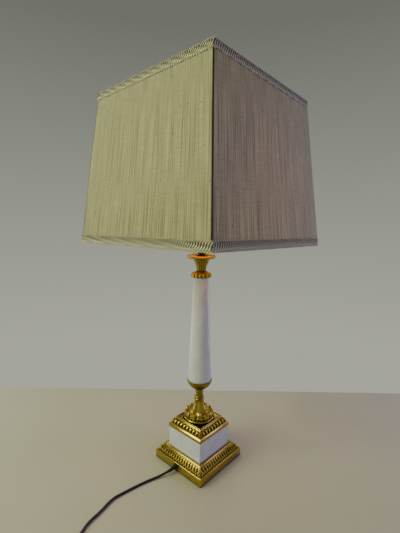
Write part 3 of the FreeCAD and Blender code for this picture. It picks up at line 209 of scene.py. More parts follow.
def squared(name, outline):
    release()
    half, level = outline[0]
    bpy.ops.mesh.primitive_cube_add(size=1)
    piece = bpy.context.object
    piece.name = name
    bpy.ops.object.mode_set(mode="EDIT")
    rise = outline[1][1] - level
    grow(2 * half * mm, 2 * half * mm, rise * mm)
    slide(0, 0, level + rise / 2)
    half, level = outline[1]
    pick(piece, "FACE", lambda p: p.z > (level - 0.01) * mm)
    for nextHalf, nextLevel in outline[2:]:
        bpy.ops.mesh.extrude_region_move(TRANSFORM_OT_translate={"value": (0, 0, (nextLevel - level) * mm)})
        grow(nextHalf / half, nextHalf / half, 1)
        half, level = nextHalf, nextLevel
    bpy.ops.object.mode_set(mode="OBJECT")
    return piece


def onPhase(p, sides, count, phase):
    step = round(math.atan2(p.y, p.x) / math.tau * sides) % (sides // count)
    return min(step, sides // count - step) == phase


def flute(piece, turnedSet):
    low, high = turnedSet["fluted"]
    editPiece(piece)
    for phase, factor in enumerate(turnedSet["fluteDepth"]):
        if factor != 1:
            pick(
                piece, "VERT",
                lambda p: low * mm < p.z < high * mm
                and onPhase(p, turnedSet["sides"], turnedSet["flutes"], phase),
            )
            grow(factor, factor, 1)
    bpy.ops.object.mode_set(mode="OBJECT")


# cords: black flat flex, its points as in the part's source

flexRadius = 2.5
toSwitchPoints = [
    (-73, 4, 9.5), (-84, 4, 9.5), (-97, 8.8, 6.4), (-110, 14.2, 3.4), (-128, 21, 2.6), (-152, 27, 2.6),
    (-186, 33, 2.8), (-210, 36.5, 3.2), (-243, 26, 3.4), (-267, 23.5, 2.8), (-291, 10.6, 2.8),
    (-308, 1, 5), (-321, -5.6, 8), (-334, -12.2, 8),
]
toPlugPoints = [
    (-387.5, -39.36, 8), (-398.2, -44.8, 8), (-408.5, -56, 6.5), (-415, -72, 4), (-418, -90, 2.6),
    (-418, -106, 2.6),
]
coil = {
    "meet": (-418, -111),
    "radii": (41, 38.2, 35.4, 32.6, 29.8, 27, 24.2, 27, 29.8, 32.6, 35.4, 38.2),
    "climbTurn": 6,
    "low": 2.6,
    "high": 8.2,
    "perHalfTurn": 6,
}
afterCoil = [
    (-418, -116, 8.2), (-418, -131, 8.2), (-412, -150, 7.6), (-398, -165, 7), (-377, -171, 6.85),
    (-361, -171, 6.85),
]

meetX, meetY = coil["meet"]
stepAngle = math.pi / coil["perHalfTurn"]
for halfTurn, radius in enumerate(coil["radii"]):
    side = 1 if halfTurn % 2 == 0 else -1
    centreX = meetX + side * radius
    reach = radius / math.cos(stepAngle / 2)
    for step in range(coil["perHalfTurn"]):
        angle = (step + 0.5) * stepAngle
        climbed = min(1, max(0, halfTurn - coil["climbTurn"] + (step + 0.5) / coil["perHalfTurn"]))
        toPlugPoints.append(
            (
                centreX - side * reach * math.cos(angle),
                meetY - side * reach * math.sin(angle),
                coil["low"] + climbed * (coil["high"] - coil["low"]),
            )
        )
    meetX = centreX + side * radius
toPlugPoints += afterCoil


def addCord(name, points):
    line = bpy.data.curves.new(name, "CURVE")
    line.dimensions = "3D"
    spline = line.splines.new("NURBS")
    spline.points.add(len(points) - 1)
    for point, place in zip(spline.points, points):
        point.co = (place[0] * mm, place[1] * mm, place[2] * mm, 1)
        point.radius = flexRadius * mm
    spline.order_u = 3
    spline.use_endpoint_u = True
    spline.resolution_u = 6
    line.bevel_depth = 1.0
    line.bevel_resolution = 3
    line.use_fill_caps = True
    cord = bpy.data.objects.new(name, line)
    bpy.context.collection.objects.link(cord)
    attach(cord, "lamp")
    return cord


flexToSwitch = addCord("flexToSwitch", toSwitchPoints)
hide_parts("cord_to_switch")
flexToPlug = addCord("flexToPlug", toPlugPoints)
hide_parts("cord_to_coil", "cord_coil", "cord_to_plug")
print("cords laid:", len(toSwitchPoints), "and", len(toPlugPoints), "points")

# table top and light

stageSet = {
    "behindAxis": 0.31,
    "wide": 4.0,
    "deep": 3.2,
    "wallLow": "#b2b4a6",
    "wallHigh": "#70726a",
    "roomColour": "#d4d0dc",
    "roomStrength": 0.42,
    "paintLow": "#a4a78c",
    "paintHigh": "#acac92",
    "aim": (0, 0, 0.42),
}

release()
bpy.ops.mesh.primitive_plane_add(size=1)
table = bpy.context.object
table.name = "tableTop"
setPlace(
    table,
    turnAbout("Z", cameraSet["yaw"])
    @ Matrix.Translation((0, stageSet["behindAxis"] - stageSet["deep"] / 2, 0))
    @ Matrix.Diagonal((stageSet["wide"], stageSet["deep"], 1, 1)),
)

tablePaint, tree, shader = newMaterial("paintedBoardPale")  # sprayed MDF: even, matt, a faint cloud
place = addNode(tree, "TexCoord").outputs["Object"]
cloud = addNode(tree, "TexNoise", {}, {"Vector": place, "Scale": 5.0, "Detail": 3.0})
shade = addNode(
    tree, "ValToRGB", {"stops": [(0.3, stageSet["paintLow"]), (0.7, stageSet["paintHigh"])]},
    {"Fac": cloud.outputs["Fac"]},
)
tree.links.new(shade.outputs["Color"], shader.inputs["Base Color"])
shader.inputs["Roughness"].default_value = 0.62
useMaterial(table, tablePaint)

world = bpy.data.worlds.new("studio")
bpy.context.scene.world = world
world.use_nodes = True
tree = world.node_tree
tree.nodes.clear()
path = addNode(tree, "LightPath")
seen = addNode(
    tree, "Math", {"operation": "MAXIMUM"},
    {0: path.outputs["Is Camera Ray"], 1: path.outputs["Is Glossy Ray"]},
)
seen = addNode(
    tree, "Math", {"operation": "MAXIMUM"}, {0: seen.outputs[0], 1: path.outputs["Is Transmission Ray"]}
)
room = addNode(
    tree, "Background", {}, {"Color": toLinear(stageSet["roomColour"]), "Strength": stageSet["roomStrength"]}
)
# the backdrop seen by the camera and in reflections is lighter low and darker high: painted shade on the wall
# behind
direction = addNode(tree, "SeparateXYZ", {}, {"Vector": addNode(tree, "TexCoord").outputs["Generated"]})
wallTone = addNode(
    tree, "ValToRGB", {"stops": [(0.0, stageSet["wallLow"]), (1.0, stageSet["wallHigh"])]},
    {"Fac": addNode(
        tree, "MapRange", {}, {"Value": direction.outputs["Z"], "From Min": -0.3, "From Max": 0.5}
    ).outputs["Result"]},
)
wall = addNode(tree, "Background", {}, {"Color": wallTone.outputs["Color"], "Strength": 1.0})
both = addNode(
    tree, "MixShader", {}, {0: seen.outputs[0], 1: room.outputs["Background"], 2: wall.outputs["Background"]}
)
addNode(tree, "OutputWorld", {}, {"Surface": both.outputs["Shader"]})

# window light from the left, a cool fill, and two tall strips that the glaze mirrors along its edges
lamps = {
    "keyLeft": {"place": (-1.55, 0.75, 1.3), "size": 1.1, "power": 31, "colour": "#f2fbd0"},
    "fillRight": {"place": (1.2, -1.35, 1.1), "size": 0.8, "power": 9.6, "colour": "#ab9cff"},
    "stripBack": {"place": (-0.28, 1.15, 0.42), "size": 0.22, "tall": 1.1, "power": 2.4, "colour": "#eef2ff"},
    "stripRight": {"place": (1.15, -0.37, 0.42), "size": 0.2, "tall": 1.1, "power": 1.8, "colour": "#f4ecff"},
    "topBack": {"place": (0.9, 1.1, 1.7), "size": 0.9, "power": 8, "colour": "#fff2e2"},
}
for name, lamp in lamps.items():
    data = bpy.data.lights.new(name, "AREA")
    data.shape = "RECTANGLE"
    data.size = lamp["size"]
    data.size_y = lamp.get("tall", lamp["size"])
    data.energy = lamp["power"]
    data.color = toLinear(lamp["colour"])[:3]
    light = bpy.data.objects.new(name, data)
    bpy.context.collection.objects.link(light)
    aim = Vector(stageSet["aim"]) - Vector(lamp["place"])
    light.visible_camera = False
    light.matrix_world = Matrix.Translation(lamp["place"]) @ aim.to_track_quat("-Z", "Y").to_matrix().to_4x4()

# the lit bulb, and what the shade's lining throws back down on the dish and the castings under it
bulbSet = {"level": 0.5887, "radius": 0.028, "power": 2.9, "colour": "#ffba72"}
liningSet = {"level": 0.548, "across": 0.16, "power": 0.24, "colour": "#ff7620"}
bulbGlow = bpy.data.lights.new("bulbGlow", "POINT")
bulbGlow.energy = bulbSet["power"]
bulbGlow.shadow_soft_size = bulbSet["radius"]
bulbGlow.color = toLinear(bulbSet["colour"])[:3]
glowSpot = bpy.data.objects.new("bulbGlow", bulbGlow)
glowSpot.location = (0, 0, bulbSet["level"])
bpy.context.collection.objects.link(glowSpot)
liningGlow = bpy.data.lights.new("liningGlow", "AREA")
liningGlow.shape = "DISK"
liningGlow.size = liningSet["across"]
liningGlow.energy = liningSet["power"]
liningGlow.color = toLinear(liningSet["colour"])[:3]
liningSpot = bpy.data.objects.new("liningGlow", liningGlow)
liningSpot.location = (0, 0, liningSet["level"])
liningSpot.visible_camera = False
bpy.context.collection.objects.link(liningSpot)
nodes["bulb_glass"].visible_shadow = False  # the frosted glass lets its own light out
print("stage and lights ready")

# one dictionary per plain finish, sizes in mm: grain is the clouding of colour and gloss, which keeps a
# face from looking like one flat paint; fine is the tooth that breaks the edge of a highlight
finishes = {
    # turned brass gone dull under its lacquer: soft warm reflections with faint tarnish clouds
    "polishedBrass": {"colours": ("#7f6c2c", "#ac9542"), "metallic": 1, "rough": (0.16, 0.3), "grain": 9,
                      "bump": 0.03, "fine": 0.5},
    # zinc-plated steel: bright grey, slightly cloudy
    "zincPlatedSteel": {"colours": ("#8b8e92", "#b5b9bd"), "metallic": 1, "rough": (0.28, 0.42), "grain": 3,
                        "bump": 0.02, "fine": 0.3},
    # grey cast iron, sand-cast: dull, pebbled skin
    "sandCastIron": {"colours": ("#35363a", "#4d4e50"), "metallic": 1, "rough": (0.6, 0.78), "grain": 4,
                     "bump": 0.25, "fine": 0.9},
    # pressed wool felt: matt, fibrous
    "pressedFelt": {"colours": ("#1f3526", "#2f4a37"), "metallic": 0, "rough": (0.92, 1.0), "grain": 2,
                    "bump": 0.5, "fine": 0.35},
    # moulded nitrile rubber: black, slightly greyed
    "mouldedRubber": {"colours": ("#0b0b0b", "#141414"), "metallic": 0, "rough": (0.55, 0.7), "grain": 5,
                      "bump": 0.06, "fine": 0.4},
    # extruded soft PVC: black, satin from the die, a faint grey bloom
    "extrudedFlexPvc": {"colours": ("#090909", "#121212"), "metallic": 0, "rough": (0.4, 0.52), "grain": 8,
                        "bump": 0.05, "fine": 0.6},
    # compression-moulded phenolic: near black brown with a faint mottled gloss
    "mouldedPhenolic": {"colours": ("#17120f", "#251c17"), "metallic": 0, "rough": (0.2, 0.33), "grain": 6,
                        "bump": 0.02, "fine": 0.8},
    # unglazed steatite ceramic: white, dry
    "firedSteatite": {"colours": ("#d9d5ca", "#e7e4db"), "metallic": 0, "rough": (0.6, 0.75), "grain": 4,
                      "bump": 0.08, "fine": 0.4},
    # stamped contact brass: bare, yellow
    "stampedContactBrass": {"colours": ("#a98a4c", "#c9a967"), "metallic": 1, "rough": (0.25, 0.4),
                            "grain": 4, "bump": 0.02, "fine": 0.4},
    # rolled aluminium of the bulb's cap
    "rolledAluminium": {"colours": ("#a9abad", "#c6c8ca"), "metallic": 1, "rough": (0.28, 0.4), "grain": 3,
                        "bump": 0.02, "fine": 0.3},
    # steel wire with white powder coat: eggshell, fine orange peel
    "powderCoatWhite": {"colours": ("#d8d4c8", "#e6e2d8"), "metallic": 0, "rough": (0.42, 0.55), "grain": 5,
                        "bump": 0.12, "fine": 0.5},
    # woven glass sleeve on the hot cores
    "wovenGlassSleeve": {"colours": ("#cfc8b4", "#e4dfcf"), "metallic": 0, "rough": (0.7, 0.85), "grain": 1.2,
                         "bump": 0.3, "fine": 0.4},
}
made = {}
for name, finish in finishes.items():
    material, tree, shader = newMaterial(name)
    made[name] = material
    place = addNode(tree, "TexCoord").outputs["Object"]
    cloud = addNode(
        tree, "TexNoise", {},
        {"Vector": place, "Scale": 1000 / finish["grain"], "Detail": 5.0, "Roughness": 0.6},
    )
    grain = addNode(tree, "TexNoise", {}, {"Vector": place, "Scale": 1000 / finish["fine"], "Detail": 2.0})
    tint = addNode(
        tree, "ValToRGB", {"stops": [(0.3, finish["colours"][0]), (0.7, finish["colours"][1])]},
        {"Fac": cloud.outputs["Fac"]},
    )
    dull = addNode(
        tree, "MapRange", {},
        {"Value": cloud.outputs["Fac"], "From Min": 0.3, "From Max": 0.7, "To Min": finish["rough"][1],
         "To Max": finish["rough"][0]},
    )
    relief = addNode(
        tree, "Bump", {}, {"Height": grain.outputs["Fac"], "Strength": finish["bump"], "Distance": 0.0003}
    )
    tree.links.new(tint.outputs["Color"], shader.inputs["Base Color"])
    tree.links.new(dull.outputs["Result"], shader.inputs["Roughness"])
    tree.links.new(relief.outputs["Normal"], shader.inputs["Normal"])
    shader.inputs["Metallic"].default_value = finish["metallic"]


# cast and chased brass, lacquered, with brown patina left in the recesses: dark ground, bright worn crests
castBrass = {
    # mm: how near a wall has to be for patina to stay, the drift of the wear, the sand pits in the highlights
    "recess": 4.5,
    "patina": "#1c1205",
    "ground": "#67561d",
    "crest": "#b7a046",
    "cloud": 14,
    "pits": 0.7,
}
chasedBrass, tree, shader = newMaterial("castBrassPatina")
place = addNode(tree, "TexCoord").outputs["Object"]
hollow = addNode(tree, "AmbientOcclusion", {"samples": 8}, {"Distance": castBrass["recess"] * mm})
cloud = addNode(
    tree, "TexNoise", {},
    {"Vector": place, "Scale": 1000 / castBrass["cloud"], "Detail": 6.0, "Roughness": 0.65},
)
worn = addNode(
    tree, "Math", {"operation": "MULTIPLY_ADD"}, {0: cloud.outputs["Fac"], 1: 0.25, 2: hollow.outputs["AO"]}
)
tint = addNode(
    tree, "ValToRGB",
    {"stops": [(0.5, castBrass["patina"]), (0.72, castBrass["ground"]), (0.9, castBrass["crest"])]},
    {"Fac": addNode(tree, "Math", {"operation": "MULTIPLY"}, {0: worn.outputs[0], 1: 0.85}).outputs[0]},
)
dull = addNode(
    tree, "MapRange", {},
    {"Value": worn.outputs[0], "From Min": 0.5, "From Max": 1.1, "To Min": 0.6, "To Max": 0.22},
)
pits = addNode(tree, "TexNoise", {}, {"Vector": place, "Scale": 1000 / castBrass["pits"], "Detail": 3.0})
relief = addNode(tree, "Bump", {}, {"Height": pits.outputs["Fac"], "Strength": 0.06, "Distance": 0.0003})
tree.links.new(tint.outputs["Color"], shader.inputs["Base Color"])
tree.links.new(dull.outputs["Result"], shader.inputs["Roughness"])
tree.links.new(relief.outputs["Normal"], shader.inputs["Normal"])
shader.inputs["Metallic"].default_value = 1

# slip-cast porcelain under a clear white glaze: cool white, deep gloss; in mm, the slow waves of a dipped
# glaze that bend its mirror lines, and its iron specks
glazeSet = {"waves": 22, "specks": 1.4}
glazedWhite, tree, shader = newMaterial("whiteGlazedPorcelain")
place = addNode(tree, "TexCoord").outputs["Object"]
cloud = addNode(tree, "TexNoise", {}, {"Vector": place, "Scale": 1000 / glazeSet["waves"], "Detail": 4.0})
speck = addNode(tree, "TexNoise", {}, {"Vector": place, "Scale": 1000 / glazeSet["specks"], "Detail": 2.0})
tint = addNode(
    tree, "ValToRGB", {"stops": [(0.3, "#c6cacb"), (0.7, "#d5d8d8")]}, {"Fac": cloud.outputs["Fac"]}
)
dots = addNode(
    tree, "ValToRGB", {"stops": [(0.24, "#a8a08c"), (0.3, "#ffffff")]}, {"Fac": speck.outputs["Fac"]}
)
body = addNode(
    tree, "Mix", {"data_type": "RGBA", "blend_type": "MULTIPLY"},
    {0: 0.35, 6: tint.outputs["Color"], 7: dots.outputs["Color"]},
)
relief = addNode(tree, "Bump", {}, {"Height": cloud.outputs["Fac"], "Strength": 0.12, "Distance": 0.0008})
tree.links.new(body.outputs[2], shader.inputs["Base Color"])
tree.links.new(relief.outputs["Normal"], shader.inputs["Normal"])
shader.inputs["Roughness"].default_value = 0.09
shader.inputs["IOR"].default_value = 1.55

# frosted soda-lime glass, lit warm from within; the frosting is uneven over 12 mm, so it isn't one flat white
frostSet = {"haze": 12, "lit": 3.0}
frostedGlass, tree, shader = newMaterial("frostedGlassLit")
place = addNode(tree, "TexCoord").outputs["Object"]
haze = addNode(tree, "TexNoise", {}, {"Vector": place, "Scale": 1000 / frostSet["haze"], "Detail": 2.0})
tint = addNode(
    tree, "ValToRGB", {"stops": [(0.3, "#ffdca0"), (0.7, "#ffe4b4")]}, {"Fac": haze.outputs["Fac"]}
)
tree.links.new(tint.outputs["Color"], shader.inputs["Base Color"])
tree.links.new(tint.outputs["Color"], shader.inputs["Emission Color"])
shader.inputs["Emission Strength"].default_value = frostSet["lit"]
shader.inputs["Roughness"].default_value = 0.4

# dupion silk on a stiff lining: irregular slubs along the warp, fine threads, a few dark nubs
silkSet = {
    # mm: warp threads and slubs give the long upright streaks, weft the faint cross ribs, nubs the dark dots
    "pale": "#cbcc96",
    "deep": "#817e52",
    "slub": "#6b4f22",
    "nub": "#3d2f1c",
    "threads": 1.3,
    "threadLength": 150,
    "slubWidth": 1.9,
    "slubLength": 160,
    "weft": 1.3,
    "nubPitch": 17,
    "bulbTint": "#ffe4b8",
    "through": 0.28,
}
slubSilk, tree, shader = newMaterial("dupionSilk")
place = addNode(tree, "UVMap", {"uv_map": "weave"}).outputs["UV"]
warpPlace = addNode(
    tree, "Mapping", {},
    {"Vector": place, "Scale": (1000 / silkSet["threads"], 1000 / silkSet["threadLength"], 1)},
)
slubPlace = addNode(
    tree, "Mapping", {},
    {"Vector": place, "Scale": (1000 / silkSet["slubWidth"], 1000 / silkSet["slubLength"], 1)},
)
weftPlace = addNode(tree, "Mapping", {}, {"Vector": place, "Scale": (28, 1000 / silkSet["weft"], 1)})
warp = addNode(tree, "TexNoise", {}, {"Vector": warpPlace.outputs[0], "Scale": 1.0, "Detail": 3.0})
slub = addNode(tree, "TexNoise", {}, {"Vector": slubPlace.outputs[0], "Scale": 1.0, "Detail": 2.0})
weft = addNode(tree, "TexNoise", {}, {"Vector": weftPlace.outputs[0], "Scale": 1.0, "Detail": 2.0})
nubs = addNode(tree, "TexVoronoi", {"feature": "F1"}, {"Vector": place, "Scale": 1000 / silkSet["nubPitch"]})
yarn = addNode(
    tree, "ValToRGB", {"stops": [(0.34, silkSet["deep"]), (0.6, silkSet["pale"])]},
    {"Fac": warp.outputs["Fac"]},
)
slubMask = addNode(tree, "ValToRGB", {"stops": [(0.55, 0.0), (0.76, 0.65)]}, {"Fac": slub.outputs["Fac"]})
weftMask = addNode(tree, "ValToRGB", {"stops": [(0.35, 0.35), (0.6, 0.0)]}, {"Fac": weft.outputs["Fac"]})
nubMask = addNode(tree, "ValToRGB", {"stops": [(0.05, 1.0), (0.08, 0.0)]}, {"Fac": nubs.outputs["Distance"]})
cloth = addNode(
    tree, "Mix", {"data_type": "RGBA"},
    {0: slubMask.outputs["Color"], 6: yarn.outputs["Color"], 7: toLinear(silkSet["slub"])},
)
cloth = addNode(
    tree, "Mix", {"data_type": "RGBA"},
    {0: weftMask.outputs["Color"], 6: cloth.outputs[2], 7: toLinear(silkSet["deep"])},
)
cloth = addNode(
    tree, "Mix", {"data_type": "RGBA"},
    {0: nubMask.outputs["Color"], 6: cloth.outputs[2], 7: toLinear(silkSet["nub"])},
)
rise = addNode(
    tree, "Math", {"operation": "MULTIPLY_ADD"}, {0: slub.outputs["Fac"], 1: 0.6, 2: warp.outputs["Fac"]}
)
relief = addNode(tree, "Bump", {}, {"Height": rise.outputs[0], "Strength": 0.35, "Distance": 0.0006})
tree.links.new(cloth.outputs[2], shader.inputs["Base Color"])
tree.links.new(relief.outputs["Normal"], shader.inputs["Normal"])
shader.inputs["Roughness"].default_value = 0.62
shader.inputs["Sheen Weight"].default_value = 0.25
shader.inputs["Sheen Roughness"].default_value = 0.4
through = addNode(
    tree, "Mix", {"data_type": "RGBA", "blend_type": "MULTIPLY"},
    {0: 1.0, 6: cloth.outputs[2], 7: toLinear(silkSet["bulbTint"])},
)
glow = addNode(tree, "BsdfTranslucent", {}, {"Color": through.outputs[2]})
out = tree.nodes["Material Output"]
mixed = addNode(
    tree, "MixShader", {}, {0: silkSet["through"], 1: shader.outputs["BSDF"], 2: glow.outputs["BSDF"]}
)
tree.links.new(mixed.outputs["Shader"], out.inputs["Surface"])

# gimp braid of twisted rayon cord on a dark woven ground, whose darkness is partly dark thread and partly
# painted shade in the gaps between the cords; in mm, the twist shows each cord's plies, the cloud its
# handling, and the ground's weave its tooth
braidSet = {"pale": "#e2e0ba", "deep": "#8c8660", "twist": 1.6, "cloud": 7, "weave": 1.1}
gimpCord, tree, shader = newMaterial("rayonGimpCord")
place = addNode(tree, "TexCoord").outputs["Object"]
strand = addNode(
    tree, "TexWave", {"wave_type": "BANDS", "bands_direction": "DIAGONAL"},
    {"Vector": place, "Scale": 1000 / braidSet["twist"] / 6, "Distortion": 1.5, "Detail": 2.0},
)
cloud = addNode(tree, "TexNoise", {}, {"Vector": place, "Scale": 1000 / braidSet["cloud"], "Detail": 4.0})
tint = addNode(
    tree, "ValToRGB", {"stops": [(0.2, braidSet["deep"]), (0.7, braidSet["pale"])]},
    {"Fac": strand.outputs["Fac"]},
)
tint = addNode(
    tree, "Mix", {"data_type": "RGBA", "blend_type": "MULTIPLY"},
    {0: 0.5, 6: tint.outputs["Color"], 7: addNode(
        tree, "ValToRGB", {"stops": [(0.3, "#9a8f7c"), (0.7, "#ffffff")]}, {"Fac": cloud.outputs["Fac"]}
    ).outputs["Color"]},
)
relief = addNode(tree, "Bump", {}, {"Height": strand.outputs["Fac"], "Strength": 0.4, "Distance": 0.0003})
tree.links.new(tint.outputs[2], shader.inputs["Base Color"])
tree.links.new(relief.outputs["Normal"], shader.inputs["Normal"])
shader.inputs["Roughness"].default_value = 0.6
shader.inputs["Sheen Weight"].default_value = 0.2

# the ground's dark colour: partly the braid's dark thread, partly painted shade between the cords
braidGroundGapShade, tree, shader = newMaterial("darkBraidGroundGapShade")
place = addNode(tree, "TexCoord").outputs["Object"]
weave = addNode(tree, "TexNoise", {}, {"Vector": place, "Scale": 1000 / braidSet["weave"], "Detail": 3.0})
tint = addNode(
    tree, "ValToRGB", {"stops": [(0.35, "#2b2113"), (0.7, "#54452c")]}, {"Fac": weave.outputs["Fac"]}
)
relief = addNode(tree, "Bump", {}, {"Height": weave.outputs["Fac"], "Strength": 0.5, "Distance": 0.0003})
tree.links.new(tint.outputs["Color"], shader.inputs["Base Color"])
tree.links.new(relief.outputs["Normal"], shader.inputs["Normal"])
shader.inputs["Roughness"].default_value = 0.85

# twisted cotton piping, brown: loose fibres 0.8 mm apart roughen its edge
fibreSet = {"pitch": 0.8}
pipingYarn, tree, shader = newMaterial("twistedCottonPiping")
place = addNode(tree, "TexCoord").outputs["Object"]
fibre = addNode(tree, "TexNoise", {}, {"Vector": place, "Scale": 1000 / fibreSet["pitch"], "Detail": 3.0})
tint = addNode(
    tree, "ValToRGB", {"stops": [(0.35, "#2c2214"), (0.7, "#5b4a30")]}, {"Fac": fibre.outputs["Fac"]}
)
relief = addNode(tree, "Bump", {}, {"Height": fibre.outputs["Fac"], "Strength": 0.4, "Distance": 0.0002})
tree.links.new(tint.outputs["Color"], shader.inputs["Base Color"])
tree.links.new(relief.outputs["Normal"], shader.inputs["Normal"])
shader.inputs["Roughness"].default_value = 0.8

nodeFinish = {
    "polishedBrass": ("knop", "column_cup", "collar_bead"),
    "zincPlatedSteel": ("base_lock_washer", "base_nut", "base_plate", "base_plate_screws", "base_washer",
                        "holder_grub_screw", "switch_screws", "threaded_rod", "top_lock_nut"),
    "sandCastIron": ("ballast",),
    "pressedFelt": ("felt_pad",),
    "mouldedRubber": ("cup_washer",),
    "extrudedFlexPvc": ("inner_flex",),
    "mouldedPhenolic": ("holder_cap", "holder_shell", "shade_ring", "switch_lower", "switch_upper",
                        "switch_rocker", "plug_body"),
    "firedSteatite": ("holder_insert",),
    "stampedContactBrass": ("holder_centre_contact", "holder_screw_shell", "holder_terminals", "bulb_tip",
                            "switch_contacts", "plug_pins"),
    "rolledAluminium": ("bulb_cap",),
    "powderCoatWhite": ("bottom_frame", "top_frame", "corner_struts", "shade_fitter"),
    "wovenGlassSleeve": ("core_wires",),
}
for finishName, names in nodeFinish.items():
    for name in names:
        nodes[name].material_slots[0].material = made[finishName]
for name in ("column", "plinth_block"):
    nodes[name].material_slots[0].material = glazedWhite
nodes["bulb_glass"].material_slots[0].material = frostedGlass
for cord in (flexToSwitch, flexToPlug):
    useMaterial(cord, made["extrudedFlexPvc"])
print("materials made")

# tapered bush where the flex leaves the plinth

bushSet = {
    "rings": (
        ((-67.2, 4, 9.5), 3.2), ((-67.2, 4, 9.5), 5.4), ((-70, 4, 9.5), 5.4), ((-70.2, 4, 9.5), 6),
        ((-72.4, 4, 9.5), 5.8), ((-73, 4, 9.5), 4.4), ((-75.4, 4, 9.5), 4.2), ((-75.6, 4, 9.5), 3.7),
        ((-76.8, 4, 9.5), 3.7), ((-77, 4, 9.5), 4), ((-79.4, 4.1, 9.4), 3.8), ((-79.6, 4.1, 9.4), 3.4),
        ((-80.8, 4.2, 9.3), 3.4), ((-81, 4.2, 9.3), 3.6), ((-84.2, 4.7, 9.0), 3.4),
        ((-87.2, 5.4, 8.6), 3.2), ((-89.8, 6.1, 8.1), 3), ((-91, 6.6, 7.8), 2.7),
    ),
    "sides": 24,
}
release()
firstSpot, firstRadius = bushSet["rings"][0]
bpy.ops.mesh.primitive_circle_add(
    vertices=bushSet["sides"], radius=firstRadius * mm, rotation=(0, math.radians(90), 0)
)
flexBush = bpy.context.object
flexBush.name = "flexBush"
bpy.ops.object.transform_apply(location=True, rotation=True, scale=True)
bpy.ops.object.mode_set(mode="EDIT")
slide(*firstSpot)
spot, radius = firstSpot, firstRadius
for nextSpot, nextRadius in bushSet["rings"][1:]:
    shift = [(b - a) * mm for a, b in zip(spot, nextSpot)]
    bpy.ops.mesh.extrude_edges_move(TRANSFORM_OT_translate={"value": shift})
    grow(1, nextRadius / radius, nextRadius / radius, about=nextSpot)
    spot, radius = nextSpot, nextRadius
tidyMesh(flexBush)
useMaterial(flexBush, made["mouldedRubber"])
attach(flexBush, "lamp")
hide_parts("cord_grommet")

# brass castings of the two plinths

tongueSet = {"segments": 8, "rings": 6, "head": 1.1, "waist": 0.86, "tip": 0.7, "flatBack": 0.3}


def tongue(name, width, length, height):
    release()
    bpy.ops.mesh.primitive_uv_sphere_add(
        segments=tongueSet["segments"], ring_count=tongueSet["rings"], radius=1,
        rotation=(math.radians(90), 0, 0),
    )
    piece = bpy.context.object
    piece.name = name
    bpy.ops.object.transform_apply(location=True, rotation=True, scale=True)
    bpy.ops.object.mode_set(mode="EDIT")
    pick(piece, "VERT", lambda p: 0.3 < p.y < 0.95)  # full rounded head at the upper end
    bpy.ops.transform.resize(value=(tongueSet["head"], 1, tongueSet["head"]), center_override=(0, 0, 0))
    pick(piece, "VERT", lambda p: -0.7 < p.y < -0.3)
    bpy.ops.transform.resize(value=(tongueSet["waist"], 1, tongueSet["waist"]), center_override=(0, 0, 0))
    pick(piece, "VERT", lambda p: -0.95 < p.y < -0.7)
    bpy.ops.transform.resize(value=(tongueSet["tip"], 1, 1), center_override=(0, 0, 0))
    pick(piece, "VERT", lambda p: p.z < -0.05)
    bpy.ops.transform.resize(value=(1, 1, tongueSet["flatBack"]), center_override=(0, 0, 0))
    bpy.ops.mesh.select_all(action="SELECT")
    grow(width / 2 * mm, length / 2 * mm, height * mm)
    tidyMesh(piece, 60)
    return piece


def ringOfTongues(shape, row, tilt, cornerGrowth):
    spots = []
    lie = turnAbout("X", tilt)
    for quarter in range(4):
        face = turnAbout("Z", 90 * quarter)
        for i in range(row["count"]):
            along = (i - (row["count"] - 1) / 2) * row["pitch"]
            spots.append(face @ Matrix.Translation((along * mm, -row["half"] * mm, row["level"] * mm)) @ lie)
        if row["corner"]:
            corner = turnAbout("Z", 90 * quarter + 45)
            reach = row["half"] * math.sqrt(2) - 1.2
            spots.append(
                corner @ Matrix.Translation((0, -reach * mm, row["level"] * mm)) @ turnAbout("X", tilt * 0.78)
                @ Matrix.Diagonal((cornerGrowth, 1.25, 1.1, 1))
            )
    return copyAt(shape, spots)


plinthSet = {
    "outline": (
        (70, 0.8), (70, 18.4), (69.4, 19.2), (68.4, 19.6), (57.4, 28.4), (57.6, 29.2), (57, 30.2),
        (55.6, 30.5), (55.2, 31.2), (54.6, 31.9), (50.4, 32), (49.4, 31.6), (49.2, 31),
    ),
    "under": ((66.9, 0.8), (66, 16), (54.5, 27.5)),
    "tongues": {"count": 17, "pitch": 7.3, "half": 62.9, "level": 24.1, "width": 5.0,
                "length": 14.4, "height": 2.5, "corner": True},
    "leafTips": {"count": 18, "pitch": 7.3, "half": 65.9, "level": 21.8, "width": 3.6,
                 "length": 8.2, "height": 1.9, "corner": False},
    "tilt": 39,
    "cornerGrowth": 1.5,
}


def underside(piece, steps):
    editPiece(piece)
    pick(piece, "FACE", lambda p: p.z < (steps[0][1] + 0.05) * mm and max(abs(p.x), abs(p.y)) < mm)
    half, level = steps[0]
    bpy.ops.mesh.inset(thickness=(piece.dimensions.x / 2 - half * mm))
    for nextHalf, nextLevel in steps[1:]:
        bpy.ops.mesh.extrude_region_move(TRANSFORM_OT_translate={"value": (0, 0, (nextLevel - level) * mm)})
        grow(nextHalf / half, nextHalf / half, 1)
        half, level = nextHalf, nextLevel
    bpy.ops.object.mode_set(mode="OBJECT")


plinthBody = squared("plinthBody", plinthSet["outline"])
underside(plinthBody, plinthSet["under"])
applyModifier(plinthBody, "BEVEL", {"width": 0.35 * mm, "segments": 2, "limit_method": "ANGLE"})
rows = []
for key in ("tongues", "leafTips"):
    row = plinthSet[key]
    shape = tongue("tongueShape", row["width"], row["length"], row["height"])
    rows += ringOfTongues(shape, row, plinthSet["tilt"], plinthSet["cornerGrowth"])
    dropPiece(shape)
lowerPlinthBrass = joined("lowerPlinthBrass", [plinthBody] + rows)
tidyMesh(lowerPlinthBrass)
useMaterial(lowerPlinthBrass, chasedBrass)
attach(lowerPlinthBrass, "lamp")
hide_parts("lower_plinth")

